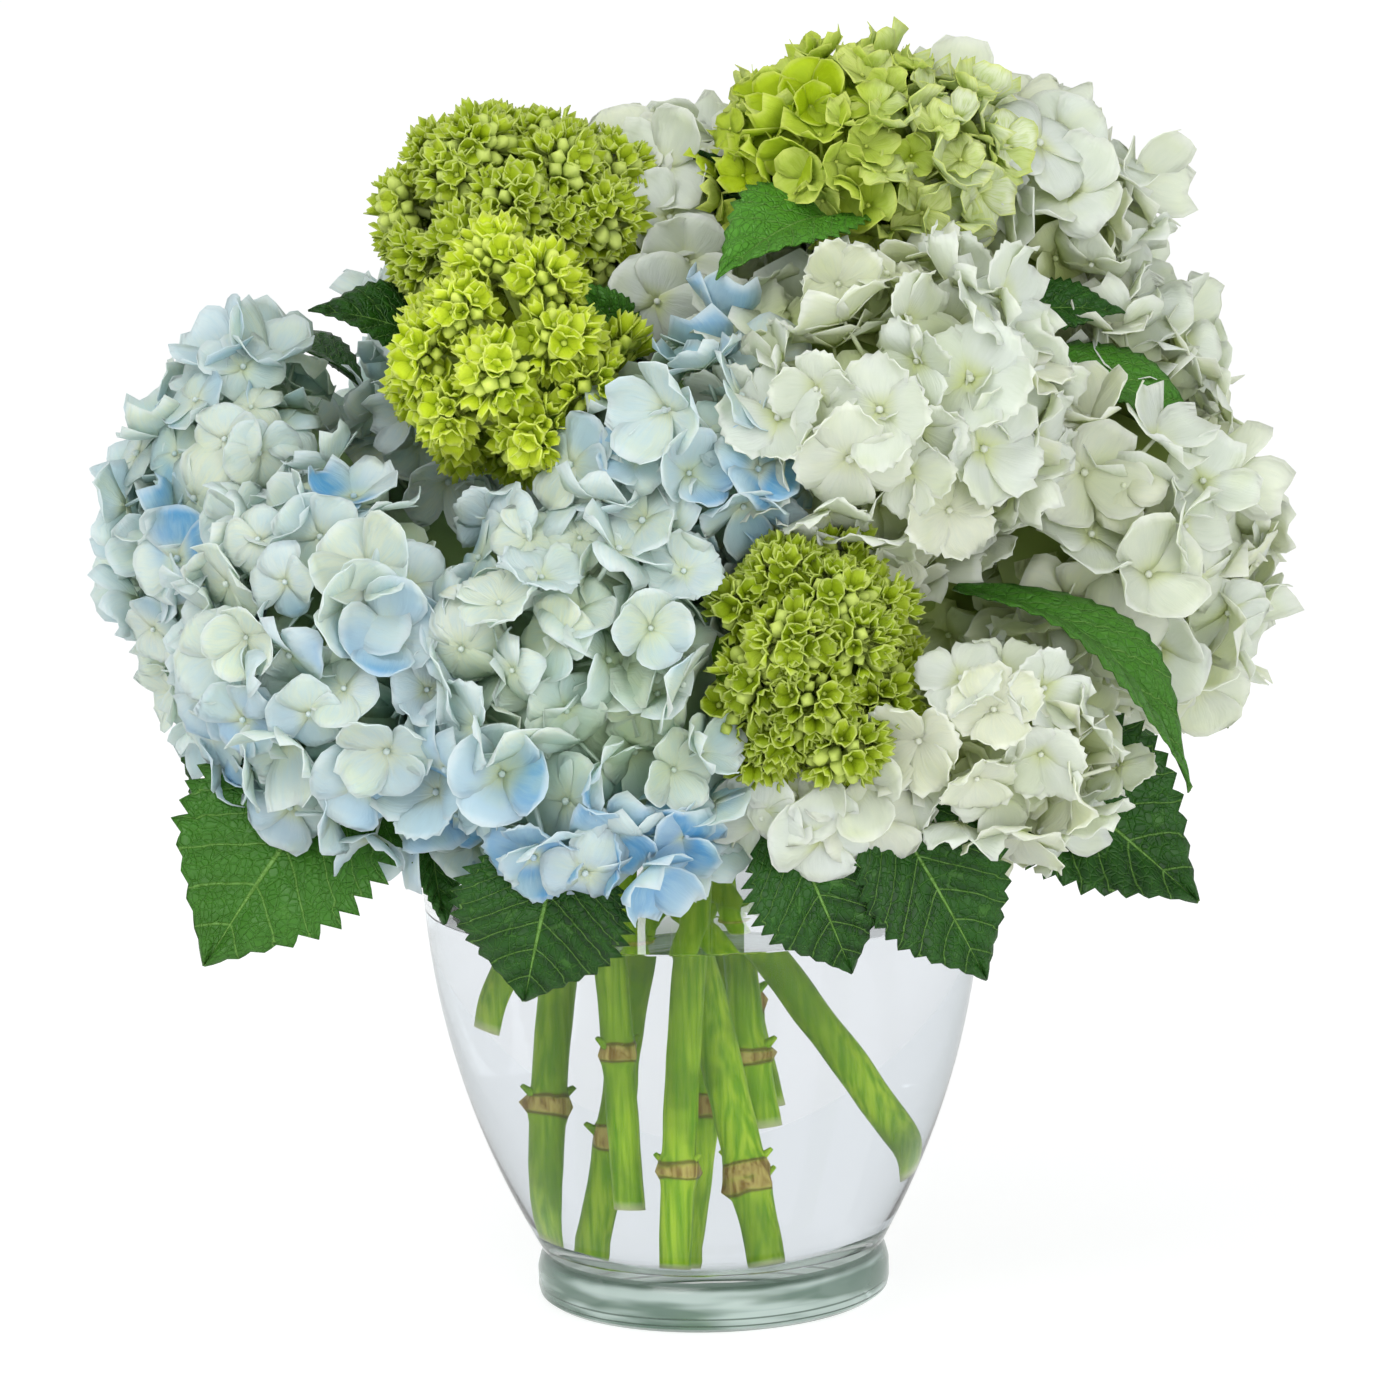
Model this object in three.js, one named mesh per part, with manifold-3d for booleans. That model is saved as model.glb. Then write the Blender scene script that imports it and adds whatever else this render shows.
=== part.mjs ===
// Cut hydrangeas standing in water in a clear glass vase.
// Millimetres, +Z up, origin at the middle of the vase's underside. The front of the bouquet faces -Y.
import * as THREE from 'three';
import { ConvexHull } from 'three/addons/math/ConvexHull.js';
import { mergeVertices } from 'three/addons/utils/BufferGeometryUtils.js';
import Module from 'manifold-3d';

const wasm = await Module();
wasm.setup();

// Vase and water
const clearance = 0.35;
const seamTolerance = 0.1;
const footRadius = 49;
const footHeight = 13;
const bodyFootRadius = 47.3;
const bellyRadius = 77.6;
const bellyHeight = 128;
const bellyPower = 2.12;
const shoulder = [[76.4, 139], [69.5, 149], [58.5, 156], [52, 162.5], [53, 168.5]];
const lipRadius = 56.5;
const vaseHeight = 172;
const glassWall = 3.5;
const glassFloor = 15;
const waterLevel = 110;
const vaseSides = 24;
const keepOutSides = 14;

// Florets: a showy one has four broad sepals, a young green one is smaller
const floretRadius = 24;
const floretSpacing = 41;
const budRadius = 17;
const budSpacing = 30;
const floretGap = 0.9;
const notchReach = 0.62;
const sepalSpread = 0.14;
const stalkShare = 0.3;
const coreShare = 0.82;
const floretShare = 0.97;
const buriedBeyond = 3;
const coreDepth = 2.5;
const leanLimit = 0.1;

// Leaves
const bladeThickness = 0.9;
const petioleRadius = 1.6;
const toothDepth = 0.07;

// How far the shoots keep from each other, and how finely their routes are laid
const shootGap = 3.2;
const routeStep = 5;
const settleRounds = 90;
const neckClearRadius = 46;
const overLipHeight = 184;
const bouquetHeart = new THREE.Vector3(0, 0, 222);

// Each head: its middle, and how far it reaches from there along x, y and z
const heads = {
  blue_head_front: { kind: 'blue', at: [-26, -74, 182], reach: [54, 48, 57] },
  blue_head_front_left: { kind: 'blue', at: [-88, -52, 190], reach: [48, 48, 54] },
  blue_head_left: { kind: 'blue', at: [-113, 4, 212], reach: [46, 50, 60] },
  blue_head_middle: { kind: 'blue', at: [0, -58, 238], reach: [44, 42, 40] },
  blue_head_back_left: { kind: 'blue', at: [-66, 72, 206], reach: [54, 46, 54] },
  blue_head_back: { kind: 'blue', at: [-52, 44, 256], reach: [44, 46, 42] },
  white_head_middle: { kind: 'white', at: [47, -56, 252], reach: [49, 46, 52] },
  white_head_right: { kind: 'white', at: [109, -8, 212], reach: [48, 54, 56] },
  white_head_low: { kind: 'white', at: [77, -76, 171], reach: [36, 36, 34] },
  white_head_top_right: { kind: 'white', at: [87, 26, 288], reach: [42, 44, 46] },
  white_head_upper_right: { kind: 'white', at: [111, 20, 250], reach: [34, 36, 28] },
  white_head_top_back: { kind: 'white', at: [-2, 36, 288], reach: [44, 44, 42] },
  white_head_back_right: { kind: 'white', at: [64, 76, 204], reach: [54, 46, 54] },
  white_head_back: { kind: 'white', at: [46, 48, 262], reach: [48, 46, 46] },
  white_head_small: { kind: 'white', at: [34, -84, 152], reach: [27, 20, 24] },
  green_head_top_left: { kind: 'green', at: [-46, -6, 302], reach: [37, 36, 30] },
  green_head_middle: { kind: 'green', at: [-42, -50, 264], reach: [39, 38, 38] },
  green_head_top_right: { kind: 'green', at: [48, 0, 312], reach: [42, 40, 30] },
  green_head_front: { kind: 'green', at: [27, -90, 189], reach: [32, 31, 38] },
};

// Each stem: its cut end, where it passes the neck, the head it carries, its side shoots and its leaves.
// A side shoot starts at a share of the stem's length. A leaf has its base, its tip, its width across,
// the way its upper face looks, its arch and fold, and its number of teeth on one side.
const neckHeight = 158;
const stems = {
  stem_white_middle: {
    cutEnd: [-51, -8, 81], neck: [-14, -3], head: 'white_head_middle', radius: 4,
    shoots: [{ from: 0.55, head: 'blue_head_middle', radius: 3.2 }],
    leaves: [{ from: 0.8, base: [-13, -22, 264], tip: [-30, -38, 286], width: 15, face: [0.2, -1, 0.4],
      arch: 1, fold: 0.2, teeth: 3 }],
  },
  stem_white_right: {
    cutEnd: [-36, 0, 20], neck: [-15, 12], head: 'white_head_right', radius: 4.2,
    shoots: [{ from: 0.6, head: 'white_head_upper_right', radius: 3 }],
    leaves: [{ from: 0.74, base: [104, 36, 172], tip: [150, 40, 148], width: 36, face: [0.3, 0.1, 1],
      arch: 6, fold: 0.15, teeth: 3 }],
  },
  stem_blue_front_left: {
    cutEnd: [-19, -22, 33], neck: [-28, -24], head: 'blue_head_front_left', radius: 4.2,
    shoots: [],
    leaves: [
      { from: 0.84, base: [-88, -48, 166], tip: [-132, -73, 111], width: 60, face: [-0.15, -0.9, 0.45],
        arch: 5, fold: 0.22, teeth: 5 },
      { from: 0.8, base: [-71, -72, 150], tip: [-68, -80, 122], width: 14, face: [0.5, -1, 0.1],
        arch: -2, fold: 0.5, teeth: 3 },
    ],
  },
  stem_white_top_right: {
    cutEnd: [-25, 4, 15], neck: [-2, -6], head: 'white_head_top_right', radius: 4,
    shoots: [{ from: 0.42, head: 'white_head_low', radius: 3.4 }],
    leaves: [
      { from: 0.62, base: [76, -54, 165], tip: [131, -64, 119], width: 47, face: [0.25, -0.9, 0.3],
        arch: 4, fold: 0.3, teeth: 4 },
      { from: 0.66, base: [68, -66, 205], tip: [127, -90, 154], width: 26, face: [0.5, -0.4, 0.8],
        arch: 15, fold: 0.35, teeth: 4 },
      { from: 0.84, base: [86, -18, 260], tip: [141, -16, 236], width: 25, face: [0.3, -0.5, 0.9],
        arch: 5, fold: 0.3, teeth: 3 },
      { from: 0.88, base: [84, -6, 270], tip: [118, -14, 271], width: 17, face: [0, -0.7, 0.7],
        arch: 3, fold: 0.2, teeth: 3 },
    ],
  },
  stem_green_top_right: {
    cutEnd: [-10, -34, 15], neck: [3, -30], head: 'green_head_top_right', radius: 4.6,
    shoots: [
      { from: 0.42, head: 'green_head_front', radius: 3.4 },
      { from: 0.45, head: 'white_head_small', radius: 2.6 },
    ],
    leaves: [
      { from: 0.5, base: [21, -96, 152], tip: [38, -99, 110], width: 36, face: [0.1, -1, 0.15],
        arch: 3, fold: 0.15, teeth: 4 },
      { from: 0.52, base: [46, -92, 156], tip: [73, -93, 106], width: 38, face: [0.2, -1, 0.1],
        arch: 5, fold: 0.25, teeth: 4 },
      { from: 0.9, base: [46, -20, 300], tip: [9, -64, 293], width: 27, face: [-0.3, -0.35, 0.9],
        arch: 6, fold: 0.3, teeth: 3 },
      { from: 0.88, base: [30, 4, 292], tip: [2, 2, 318], width: 16, face: [-0.5, -0.8, 0.3],
        arch: 2, fold: 0.3, teeth: 3 },
    ],
  },
  stem_green_middle: {
    cutEnd: [14, -34, 16], neck: [-14, -18], head: 'green_head_middle', radius: 5.2,
    shoots: [{ from: 0.45, head: 'blue_head_front', radius: 4 }],
    leaves: [{ from: 0.56, base: [-36, -96, 147], tip: [-47, -99, 105], width: 46,
      face: [-0.1, -1, 0.2], arch: 4, fold: 0.2, teeth: 4 }],
  },
  stem_white_top_back: {
    cutEnd: [11, 8, 53], neck: [1, 6], head: 'white_head_top_back', radius: 3.8,
    shoots: [{ from: 0.45, head: 'green_head_top_left', radius: 3.2 }],
    leaves: [{ from: 0.75, base: [-64, -12, 264], tip: [-101, -26, 279], width: 26, face: [-0.3, -0.6, 0.8],
      arch: 4, fold: 0.25, teeth: 3 }],
  },
  stem_blue_left: {
    cutEnd: [47, 2, 36], neck: [-24, 6], head: 'blue_head_left', radius: 4.2,
    shoots: [],
    leaves: [{ from: 0.82, base: [-108, 34, 176], tip: [-146, 62, 132], width: 38, face: [-0.6, 0.2, 0.8],
      arch: 6, fold: 0.2, teeth: 3 }],
  },
  stem_blue_back_left: {
    cutEnd: [-6, 20, 17], neck: [2, 20], head: 'blue_head_back_left', radius: 4.2,
    shoots: [{ from: 0.5, head: 'blue_head_back', radius: 3.4 }],
    leaves: [
      { from: 0.7, base: [-48, 96, 162], tip: [-70, 118, 112], width: 38, face: [-0.2, 0.9, 0.5],
        arch: 5, fold: 0.2, teeth: 3 },
      { from: 0.74, base: [4, 92, 166], tip: [0, 116, 116], width: 36, face: [0, 0.9, 0.5],
        arch: 5, fold: 0.2, teeth: 3 },
      { from: 0.84, base: [-92, 36, 252], tip: [-136, 58, 262], width: 32, face: [-0.3, 0.3, 0.9],
        arch: 6, fold: 0.25, teeth: 3 },
    ],
  },
  stem_white_back_right: {
    cutEnd: [10, 30, 56], neck: [1, 34], head: 'white_head_back_right', radius: 4.2,
    shoots: [{ from: 0.5, head: 'white_head_back', radius: 3.4 }],
    leaves: [
      { from: 0.72, base: [96, 84, 166], tip: [132, 104, 118], width: 36, face: [0.5, 0.5, 0.6],
        arch: 5, fold: 0.2, teeth: 3 },
      { from: 0.86, base: [4, 84, 232], tip: [-4, 134, 240], width: 34, face: [0, 0.3, 0.9],
        arch: 6, fold: 0.25, teeth: 3 },
    ],
  },
};

const finishes = {
  blue: { color: 0xa9cbe2, roughness: 0.75, metalness: 0 },
  white: { color: 0xf0f2ee, roughness: 0.75, metalness: 0 },
  green: { color: 0xb4c43c, roughness: 0.7, metalness: 0 },
  leaf: { color: 0x3f7a35, roughness: 0.55, metalness: 0 },
  glass: { color: 0xdfe9e6, roughness: 0.03, metalness: 0, transparent: true, opacity: 0.35 },
  water: { color: 0xe8f2f2, roughness: 0.02, metalness: 0, transparent: true, opacity: 0.3 },
};

const toVector = (list) => new THREE.Vector3(...list);

// Joining and cutting

function toSolid(geometry) {
  geometry.deleteAttribute('normal');
  geometry.deleteAttribute('uv');
  const merged = mergeVertices(geometry, 1e-4);
  const corners = Array.from(merged.index.array);
  const kept = [];
  for (let i = 0; i < corners.length; i += 3) {
    const [a, b, c] = corners.slice(i, i + 3);
    if (a !== b && b !== c && c !== a) kept.push(a, b, c);
  }
  return new wasm.Manifold(new wasm.Mesh({
    numProp: 3,
    vertProperties: Float32Array.from(merged.attributes.position.array),
    triVerts: Uint32Array.from(kept),
  }));
}

function toGeometry(solid) {
  const mesh = solid.getMesh();
  const geometry = new THREE.BufferGeometry();
  geometry.setAttribute('position', new THREE.BufferAttribute(mesh.vertProperties, 3));
  geometry.setIndex(new THREE.BufferAttribute(mesh.triVerts, 1));
  geometry.computeVertexNormals();
  return geometry;
}

// Joining leaves slivers along the seams, which are evened out, and now and then a loose scrap
function cleanBody(solid) {
  const bodies = solid.simplify(seamTolerance).decompose();
  return bodies.reduce((best, body) => (body.volume() > best.volume() ? body : best));
}

// The vase: the outline runs from the top of the foot to the lip, as [radius, height]

function bellyRadiusAt(height) {
  const share = (bellyHeight - height) / (bellyHeight - footHeight);
  return bellyRadius - (bellyRadius - bodyFootRadius) * share ** bellyPower;
}

function vaseOutline() {
  const belly = [];
  for (let i = 0; i < 5; i += 1) {
    const height = THREE.MathUtils.lerp(footHeight + 1, bellyHeight, i / 4);
    belly.push([bellyRadiusAt(height), height]);
  }
  const upper = [...shoulder, [lipRadius, vaseHeight]];
  const curve = new THREE.SplineCurve([...belly.slice(-2), ...upper].map((p) => new THREE.Vector2(...p)));
  const samples = curve.getPoints(8).slice(2);
  return [...belly.slice(0, -1).map((p) => new THREE.Vector2(...p)), ...samples];
}

const outline = vaseOutline();

function movedInward(distance) {
  return outline.map((point, i) => {
    const before = outline[Math.max(i - 1, 0)];
    const after = outline[Math.min(i + 1, outline.length - 1)];
    const along = after.clone().sub(before).normalize();
    return new THREE.Vector2(point.x - along.y * distance, point.y + along.x * distance);
  });
}

function turned(profile, sides) {
  const points = profile.map((point) => new THREE.Vector2(...point));
  return toSolid(new THREE.LatheGeometry(points, sides).rotateX(Math.PI / 2));
}

function vaseSolid() {
  const inside = movedInward(glassWall).filter((p) => p.y > glassFloor + 1.5 && p.y < vaseHeight - 1);
  const floorRadius = bellyRadiusAt(glassFloor) - glassWall - 1.5;
  const profile = [
    [0, 0], [footRadius - 1.5, 0], [footRadius, 3], [footRadius, 9], [footRadius - 1, footHeight],
    ...outline.map((p) => [p.x, p.y]),
    [lipRadius - glassWall / 2, vaseHeight + 1], [lipRadius - glassWall, vaseHeight],
    ...inside.reverse().map((p) => [p.x, p.y]),
    [floorRadius, glassFloor], [0, glassFloor],
  ];
  return turned(profile, vaseSides);
}

// What the flower heads keep clear of: a plain shape just outside the upper half of the vase
function vaseKeepOut() {
  const wide = bellyRadius + clearance;
  const rim = vaseHeight + 1 + clearance;
  const profile = [[0, 90], [wide, 90], [wide, 141], [61, 159], [lipRadius + 1.5, rim], [0, rim]];
  const outside = 1 / Math.cos(Math.PI / keepOutSides);
  return turned(profile.map(([radius, height]) => [radius * outside, height]), keepOutSides);
}

function waterSolid() {
  const low = glassFloor + clearance;
  const wall = movedInward(glassWall + clearance);
  const wet = wall.filter((p) => p.y > low + 2 && p.y < waterLevel - 2);
  const above = wall.find((p) => p.y >= waterLevel - 2);
  const below = wet[wet.length - 1];
  const share = (waterLevel - below.y) / (above.y - below.y);
  const topRadius = THREE.MathUtils.lerp(below.x, above.x, share);
  const floorRadius = bellyRadiusAt(glassFloor) - glassWall - 1.5 - clearance;
  const sides = wet.map((p) => [p.x, p.y]);
  return turned([[0, low], [floorRadius - 0.2, low], ...sides, [topRadius, waterLevel], [0, waterLevel]],
    vaseSides);
}

// Routes: a list of points a few millimetres apart, later eased clear of each other

function routeThrough(points) {
  const curve = new THREE.CatmullRomCurve3(points, false, 'centripetal');
  return curve.getSpacedPoints(Math.ceil(curve.getLength() / routeStep));
}

function climbTo(start, head) {
  const end = toVector(head.at);
  const middle = start.clone().lerp(end, 0.55);
  const low = end.z < 215;
  middle.z = low ? overLipHeight + 7 : middle.z + 8;
  return [middle, end];
}

function stemRoute(stem) {
  const cutEnd = toVector(stem.cutEnd);
  const neck = new THREE.Vector3(...stem.neck, neckHeight);
  return routeThrough([cutEnd, neck, ...climbTo(neck, heads[stem.head])]);
}

function sideShootRoute(stemPoints, shoot) {
  const first = Math.round(shoot.from * (stemPoints.length - 1));
  const start = stemPoints[first];
  const inside = start.z < overLipHeight - 8;
  const towards = toVector(heads[shoot.head].at).setZ(0).normalize();
  const rise = start.clone().addScaledVector(towards, 9);
  rise.z = inside ? overLipHeight - 12 : start.z + 14;
  return routeThrough([start, rise, ...climbTo(rise, heads[shoot.head])]);
}

function bladeFrame(leaf) {
  const base = toVector(leaf.base);
  const axis = toVector(leaf.tip).sub(base);
  const length = axis.length();
  const along = axis.normalize();
  const face = toVector(leaf.face);
  face.addScaledVector(along, -face.dot(along)).normalize();
  return { base, length, along, face, across: new THREE.Vector3().crossVectors(along, face) };
}

function petioleRoute(stemPoints, leaf) {
  const start = stemPoints[Math.round(leaf.from * (stemPoints.length - 1))];
  const frame = bladeFrame(leaf);
  const { base } = frame;
  const points = [start];
  if (base.z < overLipHeight) {
    const overLip = base.clone().setZ(0).setLength(lipRadius + 5);
    points.push(overLip.setZ(overLipHeight + 3));
  }
  const intoBlade = base.clone().addScaledVector(frame.along, 0.12 * frame.length)
    .addScaledVector(frame.face, leaf.arch * Math.sin(Math.PI * 0.12));
  return routeThrough([...points, base, intoBlade]);
}

function vaseRadiusAt(height) {
  const above = outline.findIndex((p) => p.y > height);
  if (above < 1) return above < 0 ? lipRadius : bodyFootRadius;
  const [low, high] = [outline[above - 1], outline[above]];
  return THREE.MathUtils.mapLinear(height, low.y, high.y, low.x, high.x);
}

// Where a route passes over the lip: the points before it are inside the vase, those after it outside
function overLipIndex(points) {
  const found = points.findIndex((point) => Math.hypot(point.x, point.y) > lipRadius - glassWall);
  return found < 0 ? points.length : found;
}

function setReach(point, wanted) {
  const reach = Math.hypot(point.x, point.y);
  point.x *= wanted / reach;
  point.y *= wanted / reach;
}

function keepOffGlass(point, radius, outside) {
  if (point.z > overLipHeight) return;
  const reach = Math.hypot(point.x, point.y);
  const wall = vaseRadiusAt(point.z);
  const inner = point.z > neckHeight - 20 ? neckClearRadius : wall - glassWall - 2;
  if (!outside && reach > inner - radius - 1.5) setReach(point, inner - radius - 1.5);
  if (outside && point.z > vaseHeight - 8 && reach < wall + radius + 6) point.z = overLipHeight;
  if (outside && point.z <= vaseHeight - 8 && reach < wall + radius + 3) setReach(point, wall + radius + 3);
}

function easeClear(moving, standing) {
  for (let round = 0; round < settleRounds; round += 1) {
    const pushes = moving.map((route) => route.points.map(() => new THREE.Vector3()));
    moving.forEach((route, r) => {
      for (const other of [...moving, ...standing]) {
        if (other.stem === route.stem) continue;
        const share = standing.includes(other) ? 1 : 0.5;
        addPushes(route, other, share, pushes[r]);
      }
    });
    moving.forEach((route, r) => moveRoute(route, pushes[r]));
  }
}

function addPushes(route, other, share, pushes) {
  const needed = route.radius + other.radius + shootGap;
  route.points.forEach((point, i) => {
    for (const near of other.points) {
      const apart = point.distanceTo(near);
      if (apart >= needed || apart < 1e-6) continue;
      const way = point.clone().sub(near).divideScalar(apart);
      pushes[i].addScaledVector(way, share * 0.6 * (needed - apart));
    }
  });
}

function moveRoute(route, pushes) {
  const last = route.points.length - 1;
  const before = route.points.map((point) => point.clone());
  for (let i = 1; i < last; i += 1) {
    const smooth = before[i - 1].clone().add(before[i + 1]).multiplyScalar(0.5).sub(before[i]);
    route.points[i].add(pushes[i].clampLength(0, 2)).addScaledVector(smooth, 0.45);
    keepOffGlass(route.points[i], route.radius, i >= route.overLip);
  }
}

function newRoute(stem, radius, points, extras) {
  return { stem, radius, points, overLip: overLipIndex(points), ...extras };
}

function settledRoutes() {
  const mains = Object.entries(stems).map(([name, stem]) => (
    newRoute(name, stem.radius, stemRoute(stem), { main: true })));
  easeClear(mains, []);
  const shoots = mains.flatMap((main) => stems[main.stem].shoots.map((shoot) => (
    newRoute(main.stem, shoot.radius, sideShootRoute(main.points, shoot), {}))));
  easeClear(shoots, mains);
  const petioles = mains.flatMap((main) => stems[main.stem].leaves.map((leaf) => (
    newRoute(main.stem, petioleRadius, petioleRoute(main.points, leaf), { leaf }))));
  easeClear(petioles, [...mains, ...shoots]);
  return [...mains, ...shoots, ...petioles];
}

// Stems and leaves

// Moves the corners of a tube's end face outwards
function pushOutEnd(geometry, end, inner, radius, distance) {
  const outward = end.clone().sub(inner).setLength(distance);
  const corners = geometry.attributes.position;
  for (let i = 0; i < corners.count; i += 1) {
    const corner = new THREE.Vector3().fromBufferAttribute(corners, i);
    if (corner.distanceTo(end) < radius + 0.1) corners.setXYZ(i, ...corner.add(outward));
  }
}

function tubeSolid(route, grow) {
  const sides = route.main ? 6 : 4 + (route.leaf ? 0 : 1);
  const stride = route.leaf ? 22 : 27;
  const section = new THREE.Shape();
  section.absarc(0, 0, route.radius + grow, 0, Math.PI * 2);
  const outline = new THREE.Shape(section.getSpacedPoints(sides).slice(0, sides));
  const extrudePath = new THREE.CatmullRomCurve3(route.points, false, 'centripetal');
  const steps = Math.max(3, Math.round(extrudePath.getLength() / stride));
  const geometry = new THREE.ExtrudeGeometry(outline, { steps, extrudePath, bevelEnabled: false });
  const [first, second] = route.points;
  const [lastButOne, last] = route.points.slice(-2);
  pushOutEnd(geometry, first, second, route.radius + grow, grow);
  pushOutEnd(geometry, last, lastButOne, route.radius + grow, grow);
  return toSolid(geometry);
}

function bladeHalfWidth(share, width) {
  return Math.max(0.5 * width * Math.sin(Math.PI * share ** 0.8) ** 0.85, 0.7);
}

// One row of the blade, across it: left edge, midrib and right edge, on the upper face and then the lower
function bladeRow(leaf, frame, i, rows, grow) {
  const tooth = i % 2 === 1 && i < rows;
  const share = THREE.MathUtils.clamp((i + (tooth ? 0.3 : 0)) / rows, 0, 1);
  const half = bladeHalfWidth(share, leaf.width) * (1 + (tooth ? toothDepth : -toothDepth)) + grow;
  const along = i / rows;
  const endGrow = i === 0 ? -grow : grow * (i === rows ? 1 : 0);
  const height = leaf.arch * Math.sin(Math.PI * along);
  const row = [];
  for (const side of [1, -1]) {
    for (const across of [-1, 0, 1]) {
      const length = (across ? share : along) * frame.length + endGrow;
      const lift = height + leaf.fold * half * Math.abs(across) + side * (bladeThickness / 2 + grow);
      row.push(frame.base.clone().addScaledVector(frame.along, length)
        .addScaledVector(frame.across, across * half).addScaledVector(frame.face, lift));
    }
  }
  return row;
}

function bladeSolid(leaf, grow) {
  const frame = bladeFrame(leaf);
  const rows = leaf.teeth * 2;
  const points = [];
  for (let i = 0; i <= rows; i += 1) points.push(...bladeRow(leaf, frame, i, rows, grow));
  const faces = [];
  for (let i = 0; i < rows; i += 1) {
    const [a, b] = [i * 6, i * 6 + 6];
    for (const k of [0, 1]) {
      faces.push(a + k, a + k + 1, b + k + 1, a + k, b + k + 1, b + k);
      faces.push(a + k + 4, a + k + 3, b + k + 4, a + k + 3, b + k + 3, b + k + 4);
    }
    faces.push(a, b, a + 3, b, b + 3, a + 3, a + 2, a + 5, b + 2, b + 2, a + 5, b + 5);
  }
  const end = rows * 6;
  faces.push(0, 3, 1, 1, 3, 4, 1, 4, 2, 2, 4, 5);
  faces.push(end, end + 1, end + 3, end + 1, end + 4, end + 3);
  faces.push(end + 1, end + 2, end + 4, end + 2, end + 5, end + 4);
  const geometry = new THREE.BufferGeometry().setFromPoints(points);
  geometry.setIndex(faces);
  return toSolid(geometry);
}

function leafyStemSolid(name, routes, grow) {
  const own = routes.filter((route) => route.stem === name);
  const blades = own.filter((route) => route.leaf).map((route) => bladeSolid(route.leaf, grow));
  const joined = wasm.Manifold.union([...own.map((route) => tubeSolid(route, grow)), ...blades]);
  return cleanBody(joined.trimByPlane([0, 0, 1], glassFloor + clearance - grow));
}

// Flower heads

function seededDraws(seed) {
  let state = seed;
  return () => {
    state = (state * 1664525 + 1013904223) % 4294967296;
    return state / 4294967296;
  };
}

function reachAlong(head, way) {
  const [x, y, z] = head.reach;
  return 1 / Math.hypot(way.x / x, way.y / y, way.z / z);
}

// The planes between a head and its neighbours: the way to each, and how far off the plane is on that way
function planesAround(head) {
  const middle = toVector(head.at);
  const planes = [];
  for (const other of Object.values(heads)) {
    const way = toVector(other.at).sub(middle);
    const apart = way.length();
    if (other === head) continue;
    way.normalize();
    const [own, theirs] = [reachAlong(head, way), reachAlong(other, way)];
    if (apart > 1.2 * (own + theirs)) continue;
    planes.push({ way, room: apart * own / (own + theirs) - clearance / 2 });
  }
  return planes;
}

// A point beyond such a plane is drawn in towards the head's middle until it is this deep inside
function drawnIn(point, middle, planes, depth) {
  const offset = point.clone().sub(middle);
  const shares = planes.map((plane) => {
    const along = offset.dot(plane.way);
    return along > plane.room - depth ? (plane.room - depth) / along : 1;
  });
  return offset.multiplyScalar(Math.min(1, ...shares)).add(middle);
}

// Even places all over the head, and whether a floret there would show
function floretPlaces(head, planes, spacing, draw) {
  const middle = toVector(head.at);
  const [x, y, z] = head.reach;
  const count = Math.round(4 * Math.PI * Math.cbrt(x * y * z) ** 2 / (0.87 * spacing ** 2));
  const goldenAngle = Math.PI * (3 - Math.sqrt(5));
  const outward = middle.clone().sub(bouquetHeart).normalize();
  const places = [];
  for (let i = 0; i < count; i += 1) {
    const height = 1 - 2 * (i + 0.5) / count;
    const round = Math.sqrt(1 - height ** 2);
    const turn = i * goldenAngle + 0.25 * (draw() - 0.5);
    const way = new THREE.Vector3(round * Math.cos(turn), round * Math.sin(turn), height);
    const offset = new THREE.Vector3(way.x * x, way.y * y, way.z * z).multiplyScalar(floretShare);
    const at = offset.clone().add(middle);
    const normal = new THREE.Vector3(way.x / x, way.y / y, way.z / z).normalize();
    const buried = planes.some((plane) => offset.dot(plane.way) > plane.room + buriedBeyond);
    const inVase = Math.hypot(at.x, at.y) < bellyRadius && at.z < vaseHeight - 14;
    places.push({ way, at, normal, shows: normal.dot(outward) > -0.3 && !buried && !inVase });
  }
  return places;
}

// A point on the rim of a floret stays on its own side of the middle between it and each neighbour
function keptInCell(point, place, places) {
  for (const other of places) {
    if (other === place) continue;
    const way = other.at.clone().sub(place.at);
    const half = way.length() / 2 - floretGap / 2;
    way.normalize();
    const over = point.clone().sub(place.at).dot(way) - half;
    if (over > 0) point.addScaledVector(way, -over);
  }
  return point;
}

function floretFrame(place, draw) {
  const lean = new THREE.Vector3(draw() - 0.5, draw() - 0.5, draw() - 0.5).multiplyScalar(2 * leanLimit);
  const up = place.normal.clone().add(lean).normalize();
  const turn = new THREE.Quaternion().setFromAxisAngle(new THREE.Vector3(0, 0, 1), draw() * Math.PI / 2);
  return new THREE.Quaternion().setFromUnitVectors(new THREE.Vector3(0, 0, 1), up).multiply(turn);
}

// Four broad sepals round a sunk middle: first the middle, then twelve points round the rim
function sepalPoints(place, places, radius, frame) {
  const points = [new THREE.Vector3(0, 0, -0.2 * radius)];
  for (let i = 0; i < 12; i += 1) {
    const notch = i % 3 === 0;
    const reach = notch ? notchReach * radius : radius;
    const spread = notch ? 0 : sepalSpread * (i % 3 === 1 ? -1 : 1);
    const angle = i * Math.PI / 6 + spread;
    points.push(new THREE.Vector3(reach * Math.cos(angle), reach * Math.sin(angle), notch ? -0.22 * radius : 0));
  }
  return points.map((point) => keptInCell(point.applyQuaternion(frame).add(place.at), place, places));
}

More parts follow.
